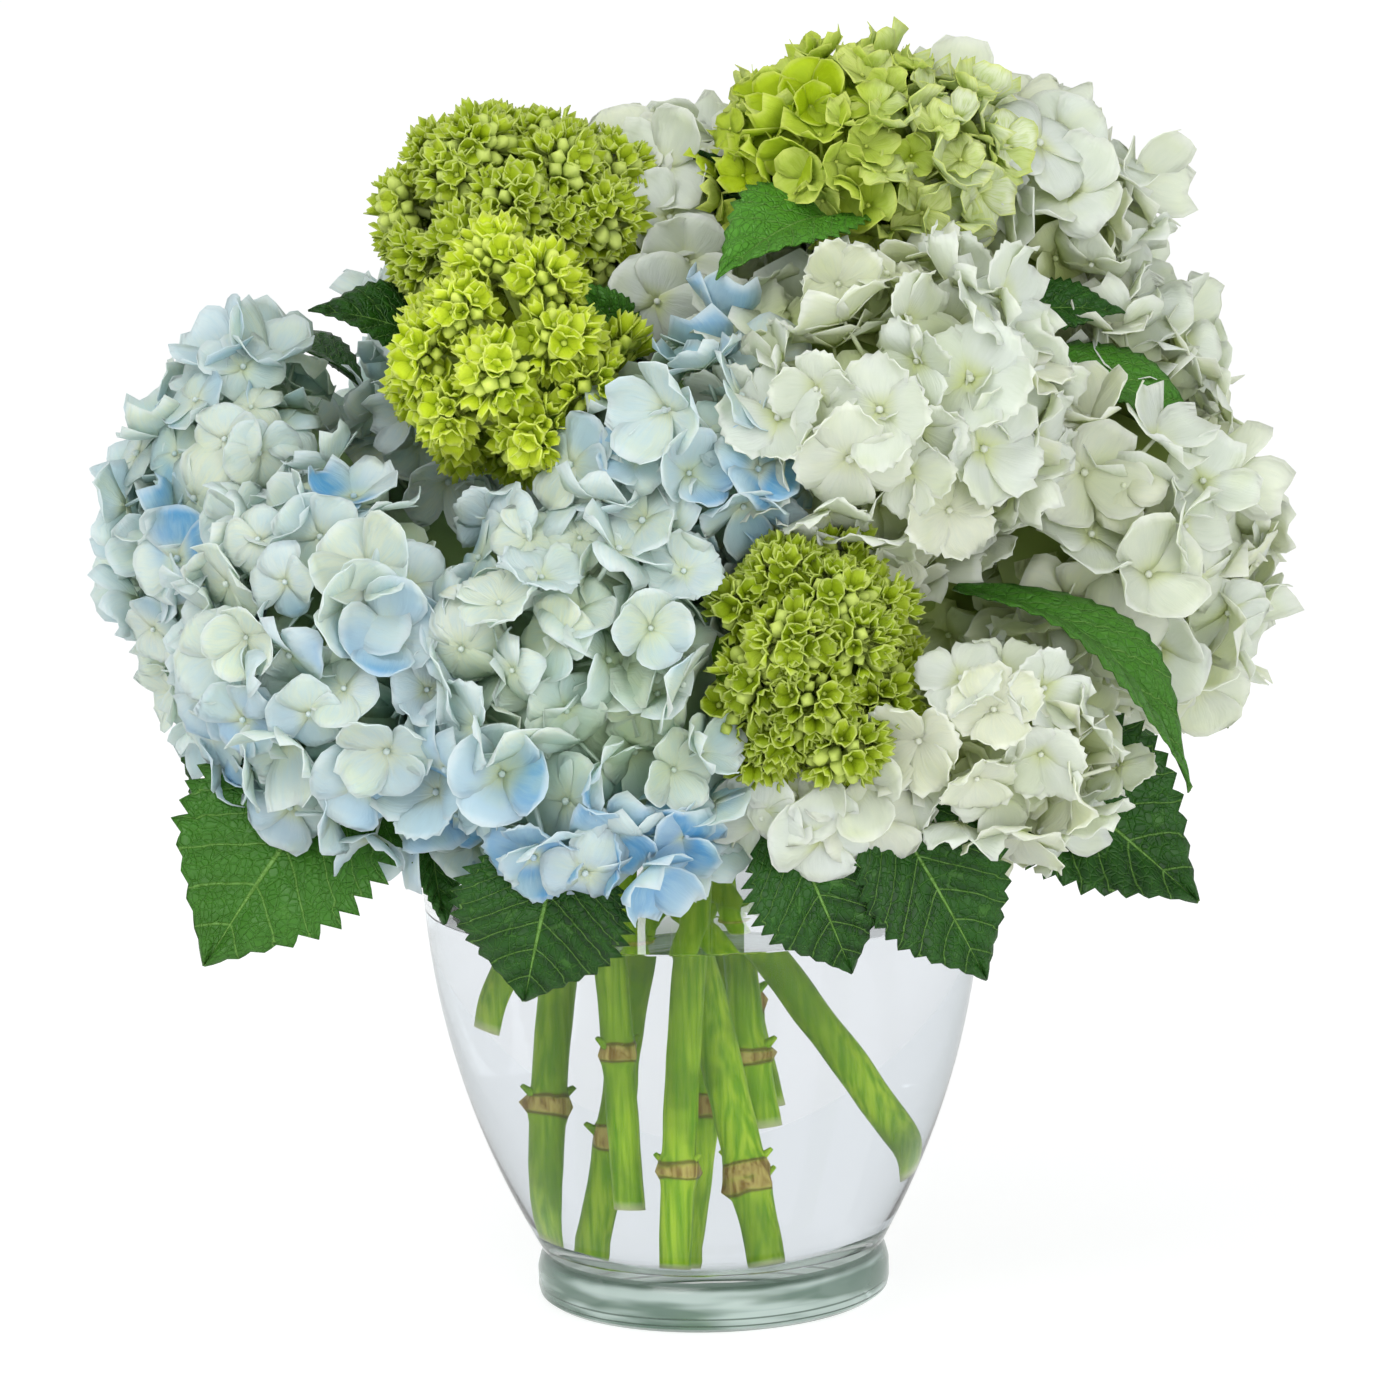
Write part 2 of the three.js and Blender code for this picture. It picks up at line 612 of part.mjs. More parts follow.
// A head is a core with a stalk point or ring for each place, and a floret on every ring
function headGeometry(head, draw) {
  const green = head.kind === 'green';
  const small = THREE.MathUtils.clamp(Math.cbrt(head.reach[0] * head.reach[1] * head.reach[2]) / 36, 0.85, 1);
  const radius = (green ? budRadius : floretRadius) * small;
  const planes = planesAround(head);
  const places = floretPlaces(head, planes, (green ? budSpacing : floretSpacing) * small, draw);
  const middle = toVector(head.at);
  const reach = toVector(head.reach);
  const points = [];
  const ways = [];
  const owners = [];
  const faces = [];
  const addCorePoint = (way, owner) => {
    ways.push(way);
    owners.push(owner);
    const onCore = way.clone().multiply(reach).multiplyScalar(coreShare).add(middle);
    points.push(drawnIn(onCore, middle, planes, coreDepth));
  };
  for (const place of places) {
    place.frame = floretFrame(place, draw);
    place.ring = ways.length;
    if (!place.shows) addCorePoint(place.way, place);
    for (let i = 0; place.shows && i < 4; i += 1) {
      const angle = i * Math.PI / 2 + 0.06 * draw();
      const offset = new THREE.Vector3(Math.cos(angle), Math.sin(angle), 0).multiplyScalar(stalkShare * radius);
      const way = offset.applyQuaternion(place.frame).divide(reach).add(place.way).normalize();
      addCorePoint(way, place);
    }
  }
  const indexOf = new Map(ways.map((way, i) => [way, i]));
  for (const face of new ConvexHull().setFromPoints(ways).faces) {
    const corners = [face.edge, face.edge.next, face.edge.prev].map((edge) => indexOf.get(edge.head().point));
    const sameFloret = corners.every((corner) => owners[corner] === owners[corners[0]]);
    if (!sameFloret) faces.push(...corners);
  }
  for (const place of places.filter((each) => each.shows)) {
    const first = points.length;
    const rim = sepalPoints(place, places, radius, place.frame);
    points.push(...rim.map((point) => drawnIn(point, middle, planes, 0)));
    for (let i = 0; i < 12; i += 1) faces.push(first, first + 1 + i, first + 1 + (i + 1) % 12);
    for (let i = 0; i < 4; i += 1) {
      const [stalk, next] = [place.ring + i, place.ring + (i + 1) % 4];
      const [notch, left, right, after] = [0, 1, 2, 3].map((k) => first + 1 + (3 * i + k) % 12);
      faces.push(notch, stalk, left, left, stalk, right, stalk, next, right, right, next, after);
    }
  }
  const geometry = new THREE.BufferGeometry().setFromPoints(points);
  geometry.setIndex(faces);
  return geometry;
}

function headSolid(head, seed, obstacles) {
  return cleanBody(toSolid(headGeometry(head, seededDraws(seed))).subtract(obstacles));
}

// The assembly

const bouquet = new THREE.Group();

function addPart(name, solid, finish) {
  const mesh = new THREE.Mesh(toGeometry(solid), new THREE.MeshStandardMaterial(finishes[finish]));
  mesh.name = name;
  bouquet.add(mesh);
}

const routes = settledRoutes();
const swollenStems = wasm.Manifold.union(Object.keys(stems).map((name) => (
  leafyStemSolid(name, routes, clearance))));
const obstacles = swollenStems.add(vaseKeepOut());

addPart('vase', vaseSolid(), 'glass');
addPart('water', cleanBody(waterSolid().subtract(swollenStems)), 'water');
for (const name of Object.keys(stems)) addPart(name, leafyStemSolid(name, routes, 0), 'leaf');
Object.entries(heads).forEach(([name, head], i) => addPart(name, headSolid(head, 71 + i, obstacles), head.kind));

export default bouquet;
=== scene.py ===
import bmesh
import bpy
import math
import random
from mathutils import Matrix, Vector, noise


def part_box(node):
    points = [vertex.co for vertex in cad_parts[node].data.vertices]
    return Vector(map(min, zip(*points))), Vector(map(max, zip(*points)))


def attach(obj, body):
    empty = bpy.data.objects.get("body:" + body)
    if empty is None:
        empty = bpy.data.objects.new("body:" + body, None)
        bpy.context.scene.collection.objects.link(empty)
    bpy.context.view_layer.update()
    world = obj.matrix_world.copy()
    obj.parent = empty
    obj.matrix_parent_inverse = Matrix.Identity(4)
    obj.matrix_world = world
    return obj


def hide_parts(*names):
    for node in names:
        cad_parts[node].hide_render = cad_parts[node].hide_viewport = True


# Cut hydrangeas in a glass vase. The bouquet and the vase are given in millimetres, and mm turns them into
# Blender's metres. Camera, lights and floor are in metres
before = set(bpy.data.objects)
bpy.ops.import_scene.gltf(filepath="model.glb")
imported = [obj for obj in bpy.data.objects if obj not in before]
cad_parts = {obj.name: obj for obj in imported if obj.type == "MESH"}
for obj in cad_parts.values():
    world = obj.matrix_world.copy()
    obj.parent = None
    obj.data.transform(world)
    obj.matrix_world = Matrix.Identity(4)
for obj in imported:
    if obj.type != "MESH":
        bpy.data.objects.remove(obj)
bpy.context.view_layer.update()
mm = 0.001
scene = bpy.context.scene


# Shaders: a wrapped socket, so that expressions add nodes
class Signal:
    def __init__(self, tree, socket=None):
        self.tree = tree
        self.socket = socket

    def node(self, kind, settings=None, inputs=None, output=0):
        made = self.tree.nodes.new(kind)
        for name, value in (settings or {}).items():
            setattr(made, name, value)
        for name, value in (inputs or {}).items():
            if isinstance(value, Signal):
                self.tree.links.new(value.socket, made.inputs[name])
            else:
                made.inputs[name].default_value = value
        return Signal(self.tree, made.outputs[output])

    def also(self, output):
        return Signal(self.tree, self.socket.node.outputs[output])

    def math(self, operation, first, second=0.0):
        return self.node("ShaderNodeMath", {"operation": operation}, {0: first, 1: second})

    def __add__(self, other):
        return self.math("ADD", self, other)

    def __radd__(self, other):
        return self.math("ADD", other, self)

    def __sub__(self, other):
        return self.math("SUBTRACT", self, other)

    def __rsub__(self, other):
        return self.math("SUBTRACT", other, self)

    def __mul__(self, other):
        return self.math("MULTIPLY", self, other)

    def __rmul__(self, other):
        return self.math("MULTIPLY", other, self)

    def __truediv__(self, other):
        return self.math("DIVIDE", self, other)

    def __rtruediv__(self, other):
        return self.math("DIVIDE", other, self)

    def __pow__(self, other):
        return self.math("POWER", self, other)

    def cloud(self, scale, detail=2.0):
        return self.node("ShaderNodeTexNoise", {}, {"Vector": self, "Scale": scale, "Detail": detail})

    def times(self, x, y, z):
        return self.node("ShaderNodeVectorMath", {"operation": "MULTIPLY"}, {0: self, 1: (x, y, z)})

    def band(self, low, high):
        return self.node("ShaderNodeMapRange", {"interpolation_type": "SMOOTHSTEP"},
                         {"Value": self, "From Min": low, "From Max": high})

    def blend(self, low, high):
        return self.node("ShaderNodeMix", {"data_type": "RGBA"}, {0: self, 6: low, 7: high}, 2)


def tone(red, green, blue):
    def linear(value):
        value /= 255
        return value / 12.92 if value <= 0.04045 else ((value + 0.055) / 1.055) ** 2.4
    return (linear(red), linear(green), linear(blue), 1)


def newMaterial(name):
    material = bpy.data.materials.new(name)
    material.use_nodes = True
    material.node_tree.nodes.clear()
    return material, Signal(material.node_tree)


def objectPlace(start):
    return start.node("ShaderNodeTexCoord", output=3)


def linkOutput(start, shader):
    output = start.tree.nodes.new("ShaderNodeOutputMaterial")
    start.tree.links.new(shader.socket, output.inputs["Surface"])


# Camera, lights and floor
cameraSettings = {"place": (0.0006, -1.5, 0.416), "pitch": 9.45, "roll": 1.6, "focalPixels": 5529,
                  "imagePixels": 1400, "sensor": 36}
bouquetMiddle = Vector((0, 0, 0.2))


def aimCamera(settings):
    data = bpy.data.cameras.new("camera")
    data.sensor_width = settings["sensor"]
    data.lens = settings["sensor"] * settings["focalPixels"] / settings["imagePixels"]
    pitch, roll = math.radians(settings["pitch"]), math.radians(settings["roll"])
    camera = bpy.data.objects.new("camera", data)
    turn = Matrix.Rotation(math.pi / 2 - pitch, 4, "X") @ Matrix.Rotation(-roll, 4, "Z")
    camera.matrix_world = Matrix.Translation(settings["place"]) @ turn
    scene.collection.objects.link(camera)
    scene.camera = camera


def addLight(name, place, size, power):
    data = bpy.data.lights.new(name, "AREA")
    data.size = size
    data.energy = power
    light = bpy.data.objects.new(name, data)
    light.location = place
    light.rotation_euler = (bouquetMiddle - Vector(place)).to_track_quat("-Z", "Y").to_euler()
    scene.collection.objects.link(light)


# A pale studio, as bright as the floor at the horizon and dimmer overhead
studioSettings = {"colour": (0.97, 0.99, 1, 1), "horizon": 1.04, "dimmed": 0.5, "from": 0.2, "to": 0.8}


def lightStudio(settings):
    world = bpy.data.worlds.new("studio")
    scene.world = world
    world.use_nodes = True
    sky = Signal(world.node_tree)
    rise = sky.node("ShaderNodeSeparateXYZ", {}, {0: sky.node("ShaderNodeTexCoord")}).also("Z")
    light = settings["horizon"] - rise.band(settings["from"], settings["to"]) * settings["dimmed"]
    background = world.node_tree.nodes["Background"].inputs
    background["Color"].default_value = settings["colour"]
    world.node_tree.links.new(light.socket, background["Strength"])


def addFloor():
    bm = bmesh.new()
    bmesh.ops.create_grid(bm, x_segments=2, y_segments=2, size=18)
    floor = objectFrom(bm, "floor", floorMaterial(), smooth=False)


def floorMaterial():
    material, start = newMaterial("paleFloor")
    spots = objectPlace(start)
    colour = spots.cloud(3.0).blend((0.4, 0.4, 0.4, 1), (0.44, 0.44, 0.44, 1))
    linkOutput(start, start.node("ShaderNodeBsdfPrincipled", {}, {
        "Base Color": colour, "Roughness": 0.6, "Emission Color": (1, 1, 1, 1), "Emission Strength": 0.68}))
    return material


def meshFrom(bm, name):
    mesh = bpy.data.meshes.new(name)
    bm.to_mesh(mesh)
    bm.free()
    return mesh


def objectFrom(bm, name, material, smooth=True):
    mesh = meshFrom(bm, name)
    mesh.materials.append(material)
    for face in mesh.polygons:
        face.use_smooth = smooth
    made = bpy.data.objects.new(name, mesh)
    scene.collection.objects.link(made)
    return made


def dress(piece, slot, *nodes):
    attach(piece, "root")
    if nodes:
        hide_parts(*nodes)
    return piece


aimCamera(cameraSettings)
scene.view_settings.view_transform = "Standard"
lightStudio(studioSettings)
addLight("keyLight", (-0.75, -1.2, 1.7), 1.0, 18)
addLight("fillLight", (0.7, -1.5, 0.5), 1.2, 10)
addFloor()
print("camera, lights and floor")

# Flower heads: the middle of each and how far it reaches
heads = {
    "blue_head_front": {"kind": "blue", "at": (-26, -74, 182), "reach": (54, 48, 57)},
    "blue_head_front_left": {"kind": "blue", "at": (-88, -52, 190), "reach": (48, 48, 54)},
    "blue_head_left": {"kind": "blue", "at": (-113, 4, 212), "reach": (46, 50, 60)},
    "blue_head_middle": {"kind": "blue", "at": (0, -58, 238), "reach": (44, 42, 40)},
    "blue_head_back_left": {"kind": "blue", "at": (-66, 72, 206), "reach": (54, 46, 54)},
    "blue_head_back": {"kind": "blue", "at": (-52, 44, 256), "reach": (44, 46, 42)},
    "white_head_middle": {"kind": "white", "at": (47, -56, 250), "reach": (49, 46, 47)},
    "white_head_right": {"kind": "white", "at": (109, -8, 212), "reach": (48, 54, 56)},
    "white_head_low": {"kind": "white", "at": (77, -76, 171), "reach": (36, 36, 34)},
    "white_head_top_right": {"kind": "white", "at": (87, 26, 288), "reach": (42, 44, 46)},
    "white_head_upper_right": {"kind": "white", "at": (111, 20, 250), "reach": (34, 36, 28)},
    "white_head_top_back": {"kind": "white", "at": (-2, 36, 286), "reach": (44, 44, 38)},
    "white_head_back_right": {"kind": "white", "at": (64, 76, 204), "reach": (54, 46, 54)},
    "white_head_back": {"kind": "white", "at": (46, 48, 262), "reach": (48, 46, 46)},
    "white_head_small": {"kind": "white", "at": (34, -84, 152), "reach": (27, 20, 24)},
    "green_head_top_left": {"kind": "bud", "at": (-46, -6, 302), "reach": (37, 36, 30)},
    "green_head_middle": {"kind": "bud", "at": (-42, -50, 264), "reach": (39, 38, 38)},
    "green_head_top_right": {"kind": "lime", "at": (48, 0, 312), "reach": (42, 40, 30)},
    "green_head_front": {"kind": "bud", "at": (27, -90, 189), "reach": (32, 31, 38)},
}
bouquetHeart = Vector((0, 0, 222))
budClearance = 0.36  # more room in front of a head of buds, as a share of its reach


def insideShare(point, head):
    offset = Vector(point) - Vector(head["at"])
    return math.sqrt(sum((offset[i] / head["reach"][i]) ** 2 for i in range(3)))


# Whether a place is inside another head. Florets also keep away from the front of the heads of buds
def coveredBy(point, own, depth):
    for name, head in heads.items():
        hides = head["kind"] == "bud" and heads[own]["kind"] != "bud" and point[1] < head["at"][1]
        if name != own and insideShare(point, head) < depth + (budClearance if hides else 0):
            return True
    return False


# Leaves: base, tip, width across, the way the upper face looks, arch and fold
# A leaf in brightLeaves, named by its stem and place in the list, is a lighter green
leaves = {
    "stem_white_middle": [((-13, -22, 264), (-30, -38, 286), 15, (0.2, -1, 0.4), 1, 0.2)],
    "stem_white_right": [((104, 36, 172), (150, 40, 148), 36, (0.3, 0.1, 1), 6, 0.15)],
    "stem_blue_front_left": [((-88, -48, 166), (-132, -73, 111), 60, (-0.15, -0.9, 0.45), 5, 0.22),
                             ((-71, -72, 150), (-68, -80, 122), 14, (0.5, -1, 0.1), -2, 0.5)],
    "stem_white_top_right": [((76, -54, 165), (131, -64, 119), 47, (0.25, -0.9, 0.3), 4, 0.3),
                             ((68, -66, 205), (127, -90, 154), 26, (0.5, -0.4, 0.8), 15, 0.35),
                             ((86, -18, 260), (141, -16, 236), 25, (0.3, -0.5, 0.9), 5, 0.3),
                             ((84, -6, 270), (118, -14, 271), 17, (0, -0.7, 0.7), 3, 0.2)],
    "stem_green_top_right": [((21, -96, 152), (38, -99, 110), 36, (0.1, -1, 0.15), 3, 0.15),
                             ((46, -92, 156), (73, -93, 106), 38, (0.2, -1, 0.1), 5, 0.25),
                             ((46, -22, 300), (8, -66, 288), 30, (-0.25, -0.75, 0.7), 6, 0.3),
                             ((30, 4, 292), (2, 2, 318), 16, (-0.5, -0.8, 0.3), 2, 0.3)],
    "stem_green_middle": [((-36, -96, 147), (-47, -99, 105), 46, (-0.1, -1, 0.2), 4, 0.2)],
    "stem_white_top_back": [((-64, -12, 264), (-101, -26, 279), 26, (-0.3, -0.6, 0.8), 4, 0.25)],
    "stem_blue_left": [((-108, 34, 176), (-146, 62, 132), 38, (-0.6, 0.2, 0.8), 6, 0.2)],
    "stem_blue_back_left": [((-48, 96, 162), (-70, 118, 112), 38, (-0.2, 0.9, 0.5), 5, 0.2),
                            ((4, 92, 166), (0, 116, 116), 36, (0, 0.9, 0.5), 5, 0.2),
                            ((-92, 36, 252), (-136, 58, 262), 32, (-0.3, 0.3, 0.9), 6, 0.25)],
    "stem_white_back_right": [((96, 84, 166), (132, 104, 118), 36, (0.5, 0.5, 0.6), 5, 0.2),
                              ((4, 84, 232), (-4, 134, 240), 34, (0, 0.3, 0.9), 6, 0.25)],
}
brightLeaves = {("stem_blue_front_left", 0): 0.45, ("stem_green_top_right", 2): 1.0,
                ("stem_white_top_right", 1): 0.6, ("stem_white_top_right", 2): 0.7, ("stem_white_middle", 0): 0.6}


# Florets leave room over the upper face of a leaf that lies between the heads, and don't stand in any blade.
# The bare zone runs from "from" along the leaf, and from low to high over it
leafZones = {"hanging": {"from": 0.38, "low": -12, "high": 3}, "between": {"from": 0.1, "low": -7, "high": 32},
             "lime": {"low": -4, "high": 6}, "hangsUnder": 200, "aside": 3}


def atLeaf(point, own):
    for blades in leaves.values():
        for base, tip, width, face, arch, fold in blades:
            zone = leafZones["hanging" if base[2] < leafZones["hangsUnder"] else "between"]
            axis = Vector(tip) - Vector(base)
            share = (point - Vector(base)).dot(axis) / axis.length_squared
            apart = point - Vector(base) - axis * min(max(share, zone["from"]), 1)
            over = apart.dot(Vector(face).normalized())
            aside = math.sqrt(max(apart.length_squared - over ** 2, 0))
            if heads[own]["kind"] == "lime":
                zone = leafZones["lime"]
            if aside < width / 2 + leafZones["aside"] and zone["low"] < over < zone["high"]:
                return True
    return False


# The florets keep off the vase below these heights, out to these radii
vaseZones = [(148, 86), (166, 62)]


def inVase(point):
    reach = math.hypot(point[0], point[1])
    return any(point[2] < height and reach < radius for height, radius in vaseZones)


# High heads carry florets almost all round, low ones only on the side that shows
placeSettings = {"packing": 0.87, "jitter": 0.22, "fewest": 4, "highAbove": 250, "inwardHigh": -0.85,
                 "inwardLow": -0.35, "leftmost": -152, "foremost": -109}
goldenTurn = math.pi * (3 - math.sqrt(5))


# The way to one of many even places on a ball, which run from its top down
def evenWay(i, count, start=0.0):
    height = 1 - 2 * (i + 0.5) / count
    turn = i * goldenTurn + start
    ring = math.sqrt(1 - height ** 2)
    return Vector((ring * math.cos(turn), ring * math.sin(turn), height))


def countOn(radius, spacing):
    return round(4 * math.pi * radius ** 2 / (placeSettings["packing"] * spacing ** 2))


# Even places on a head at a share of its reach, with the way out of the head at each
def placesOn(name, share, spacing, rng, depth):
    s = placeSettings
    head = heads[name]
    middle, reach = Vector(head["at"]), Vector(head["reach"]) * share
    mean = (reach.x * reach.y * reach.z) ** (1 / 3)
    count = max(s["fewest"], countOn(mean, spacing))
    outward = (middle - bouquetHeart).normalized()
    inward = s["inwardHigh"] if middle.z > s["highAbove"] else s["inwardLow"]
    start = rng.uniform(0, math.tau)
    found = []
    for i in range(count):
        jitter = Vector([rng.uniform(-1, 1) for axis in range(3)]) * s["jitter"] * spacing / mean
        way = (evenWay(i, count, start) + jitter).normalized()
        at = middle + Vector((way.x * reach.x, way.y * reach.y, way.z * reach.z))
        normal = Vector((way.x / reach.x, way.y / reach.y, way.z / reach.z)).normalized()
        at.x, at.y = max(at.x, s["leftmost"]), max(at.y, s["foremost"])
        if normal.dot(outward) > inward and not (coveredBy(at, name, depth) or inVase(at) or atLeaf(at, name)):
            found.append((at, normal))
    return found


def turnedTo(at, normal, rng, lean, size):
    wobble = Vector([rng.uniform(-1, 1) for axis in range(3)]) * lean
    up = (normal + wobble).normalized()
    turn = up.to_track_quat("Z", "Y").to_matrix().to_4x4() @ Matrix.Rotation(rng.uniform(0, math.tau), 4, "Z")
    return Matrix.Translation(at * mm) @ turn @ Matrix.Scale(size, 4)


def addCopy(bm, mesh, matrix, paint):
    first = len(bm.verts)
    bm.from_mesh(mesh)
    bm.verts.ensure_lookup_table()
    fresh = bm.verts[first:]
    bmesh.ops.transform(bm, matrix=matrix, verts=fresh)
    shade, deep = bm.verts.layers.float_color["petal"], bm.verts.layers.float["deep"]
    for vert in fresh:
        reach, _, _, isSepal = vert[shade]
        tint, blue, vert[deep] = paint(vert.co)
        vert[shade] = (reach, tint, blue, isSepal)


# Florets. The colour layer "petal" holds: 0 at the eye to 1 at the rim, tint, blue, and 1 on a sepal.
# The layer "deep" is 1 far inside a head, and paints shade into the colour there
floretSettings = {"length": 16, "width": 20.5, "rows": 5, "columns": 4, "thickness": 0.35, "eye": 1.25,
                  "stalk": 13, "spacing": 19.5, "lean": 0.75, "sizes": (0.76, 1.12), "core": 0.58}
# How a floret opens: lift of its sepals, curl of their rims, cup across, and waves
openings = {"flat": {"lift": (0.0, 0.2), "curl": (-0.3, 0.15), "cup": (-0.05, 0.15), "wave": 0.08},
            "bowl": {"lift": (0.25, 0.6), "curl": (-0.25, 0.3), "cup": (0.05, 0.3), "wave": 0.09},
            "fold": {"lift": (0.15, 0.35), "curl": (-0.75, -0.35), "cup": (-0.15, 0.1), "wave": 0.11},
            "ruffled": {"lift": (0.1, 0.45), "curl": (-0.4, 0.2), "cup": (-0.1, 0.25), "wave": 0.16}}


# A flat sheet, 1 m square, whose UV map runs across and along it
def addSheet(bm, columns, rows):
    uv = bm.loops.layers.uv["grain"]
    grid = bmesh.ops.create_grid(bm, x_segments=columns, y_segments=rows, size=0.5)["verts"]
    for face in {face for vert in grid for face in vert.link_faces}:
        for loop in face.loops:
            loop[uv].uv = (loop.vert.co.x + 0.5, loop.vert.co.y + 0.5)
    return grid


def addSepal(bm, settings, shape, turn, rng):
    shade = bm.verts.layers.float_color["petal"]
    columns, rows = settings["columns"], settings["rows"]
    grid = addSheet(bm, columns, rows)
    length, width = shape["length"] * mm, shape["width"] * mm
    wave, twist = rng.uniform(0, math.tau), rng.uniform(-0.22, 0.22)
    for vert in grid:
        across, along = 2 * vert.co.x, vert.co.y + 0.5
        vert[shade] = (along, 0, 0, 1)
        half = width / 2 * (0.2 + 0.8 * math.sin(math.pi * 0.8 * along ** 1.15) ** 0.9)
        half *= 1 - shape["taper"] * along ** 4
        out = along - 0.14 * (along * across) ** 2
        if abs(across) > 0.99 or along > 0.99:
            notch = 1 if (round(along * rows) + round((across + 1) / 2 * columns)) % 2 else -1
            out += shape["fringe"] * notch
            half *= 1 + shape["fringe"] * notch
        rise = shape["lift"] * along + shape["curl"] * along ** 2.6 + shape["cup"] * along * across ** 2
        rise += twist * along * across
        rise += shape["wave"] * along ** 1.5 * math.sin(3.1 * across + 3 * along + wave)
        vert.co = Vector((across * half, out * length, rise * length))
    bmesh.ops.rotate(bm, verts=grid, cent=(0, 0, 0), matrix=Matrix.Rotation(turn, 3, "Z"))


# The modifier keeps tight folds short, which the operator doesn't
def thicken(piece, thickness):
    shell = piece.modifiers.new("thickness", "SOLIDIFY")
    shell.thickness = thickness * mm
    shell.offset = 0


# Gives the sheets in a bmesh their thickness, with the faces outwards
def closeShell(bm, thickness):
    mesh = bpy.data.meshes.new("sheet")
    bm.to_mesh(mesh)
    bm.clear()
    holder = bpy.data.objects.new("sheet", mesh)
    scene.collection.objects.link(holder)
    thicken(holder, thickness)
    bm.from_mesh(holder.evaluated_get(bpy.context.evaluated_depsgraph_get()).to_mesh())
    bpy.data.objects.remove(holder)
    bmesh.ops.recalc_face_normals(bm, faces=bm.faces[:])


def newPetalMesh():
    bm = bmesh.new()
    bm.loops.layers.uv.new("grain")
    bm.verts.layers.float_color.new("petal")
    bm.verts.layers.float.new("deep")
    return bm


def addEye(bm, radius, height):
    eye = bmesh.ops.create_icosphere(bm, subdivisions=1, radius=radius * mm)["verts"]
    bmesh.ops.translate(bm, verts=eye, vec=(0, 0, height * mm))


def addStalk(bm, length):
    stalk = bmesh.ops.create_cone(bm, cap_ends=True, segments=4, radius1=0.9 * mm, radius2=0.6 * mm,
                                  depth=length * mm)["verts"]
    bmesh.ops.translate(bm, verts=stalk, vec=(0, 0, -0.5 * length * mm))


def floretMesh(settings, rng, opening, fringe):
    bm = newPetalMesh()
    way = openings[opening]
    for i in range(4):
        shape = {"length": settings["length"] * rng.uniform(0.88, 1.08),
                 "width": settings["width"] * rng.uniform(0.88, 1.1),
                 "lift": rng.uniform(*way["lift"]) + 0.06 * (i % 2), "curl": rng.uniform(*way["curl"]),
                 "cup": rng.uniform(*way["cup"]), "wave": way["wave"], "fringe": fringe, "taper": 0.12}
        addSepal(bm, settings, shape, i * math.pi / 2 + rng.uniform(-0.18, 0.18), rng)
    closeShell(bm, settings["thickness"])
    addEye(bm, settings["eye"], 0.9)
    addStalk(bm, settings["stalk"])
    return meshFrom(bm, "floret")


def floretMix(rng, counts, fringe, settings=floretSettings):
    return [floretMesh(settings, rng, opening, fringe) for opening, count in counts.items() for i in range(count)]


# Where the blue runs strongest: place and reach of each patch
bluePatches = [((-107, -70, 178), 20, 0.8), ((-68, -90, 176), 17, 0.7), ((-68, -92, 150), 18, 0.9),
               ((-28, -100, 140), 22, 1.0), ((-110, -20, 266), 18, 0.8), ((-22, -80, 250), 16, 0.7),
               ((20, -88, 230), 18, 0.9), ((2, -70, 272), 15, 0.8), ((-142, 0, 236), 18, 0.5),
               ((-5, -104, 152), 16, 0.5), ((-120, 30, 180), 26, 0.7), ((-60, 110, 220), 26, 0.7),
               ((-40, 80, 290), 24, 0.6)]


def blueAt(point):
    total = max(0, 1.4 * noise.noise(point * 45) - 0.2)
    for place, reach, strength in bluePatches:
        apart = (point / mm - Vector(place)).length / reach
        total += strength * math.exp(-apart ** 2)
    return min(max(total, 0), 1)


# Florets that fill the front between the even places of their heads
hanging = {"blue_head_front": [(-30, -110, 141), (-14, -109, 141), (-43, -108, 145), (-4, -106, 149),
                               (-22, -110, 152)],
           "white_head_top_back": [(-15, 2, 318), (-5, -4, 313), (-4, -12, 300), (0, -19, 289), (-8, -26, 279)],
           "white_head_small": [(16, -100, 152), (31, -103, 147), (45, -101, 150), (24, -102, 158),
                                (40, -101, 160)]}


# Outer florets, then plainer ones further in, then those that fill the front, then a core painted in the colour
# of shade
def growShowyHead(name, rng, florets, plainer, material, settings):
    head = heads[name]
    bm = newPetalMesh()
    size = settings["size"]
    for share, depth, meshes in ((0.92, 0.72, florets), (0.7, 0.62, plainer)):
        for at, normal in placesOn(name, share, settings["spacing"] * size, rng, depth):
            at = at + normal * rng.uniform(-4, 2.5)
            matrix = turnedTo(at, normal, rng, settings["lean"], size * rng.uniform(*settings["sizes"]))
            addCopy(bm, rng.choice(meshes), matrix, floretPaint(head, rng))
    for place in hanging.get(name, []):
        way = (Vector(place) - Vector(head["at"]) + Vector((0, -30, 0))).normalized()
        matrix = turnedTo(Vector(place), way, rng, 0.3, size * rng.uniform(0.9, 1.05))
        addCopy(bm, rng.choice(florets), matrix, floretPaint(head, rng))
    addCore(bm, head, settings["core"])
    return dress(objectFrom(bm, name + "Florets", material), settings["slot"], name)


def floretPaint(head, rng):
    tint, strength = rng.random(), rng.choice((0.3, 0.45, 0.8, 1.2, 1.6))

    def paint(point):
        # Painted shade, strongest towards the middle of the head
        deep = min(max((0.97 - insideShare(point / mm, head)) / 0.4, 0), 1)
        amount = blueAt(point) if head["kind"] == "blue" else 0
        if head["kind"] == "lime":  # its right side has opened white
            amount = max(0, point.x / mm - 48) / 30
        return tint, min(1, amount * strength), deep
    return paint


# A ball that fills the middle of the head, painted all over as shade
def addCore(bm, head, share):
    core = bmesh.ops.create_icosphere(bm, subdivisions=3, radius=1)["verts"]
    shade, deep = bm.verts.layers.float_color["petal"], bm.verts.layers.float["deep"]
    for vert in core:
        vert.co = Vector([(head["at"][i] + vert.co[i] * head["reach"][i] * share) * mm for i in range(3)])
        vert[shade] = (0, 0.5, 0, 0)
        vert[deep] = 1


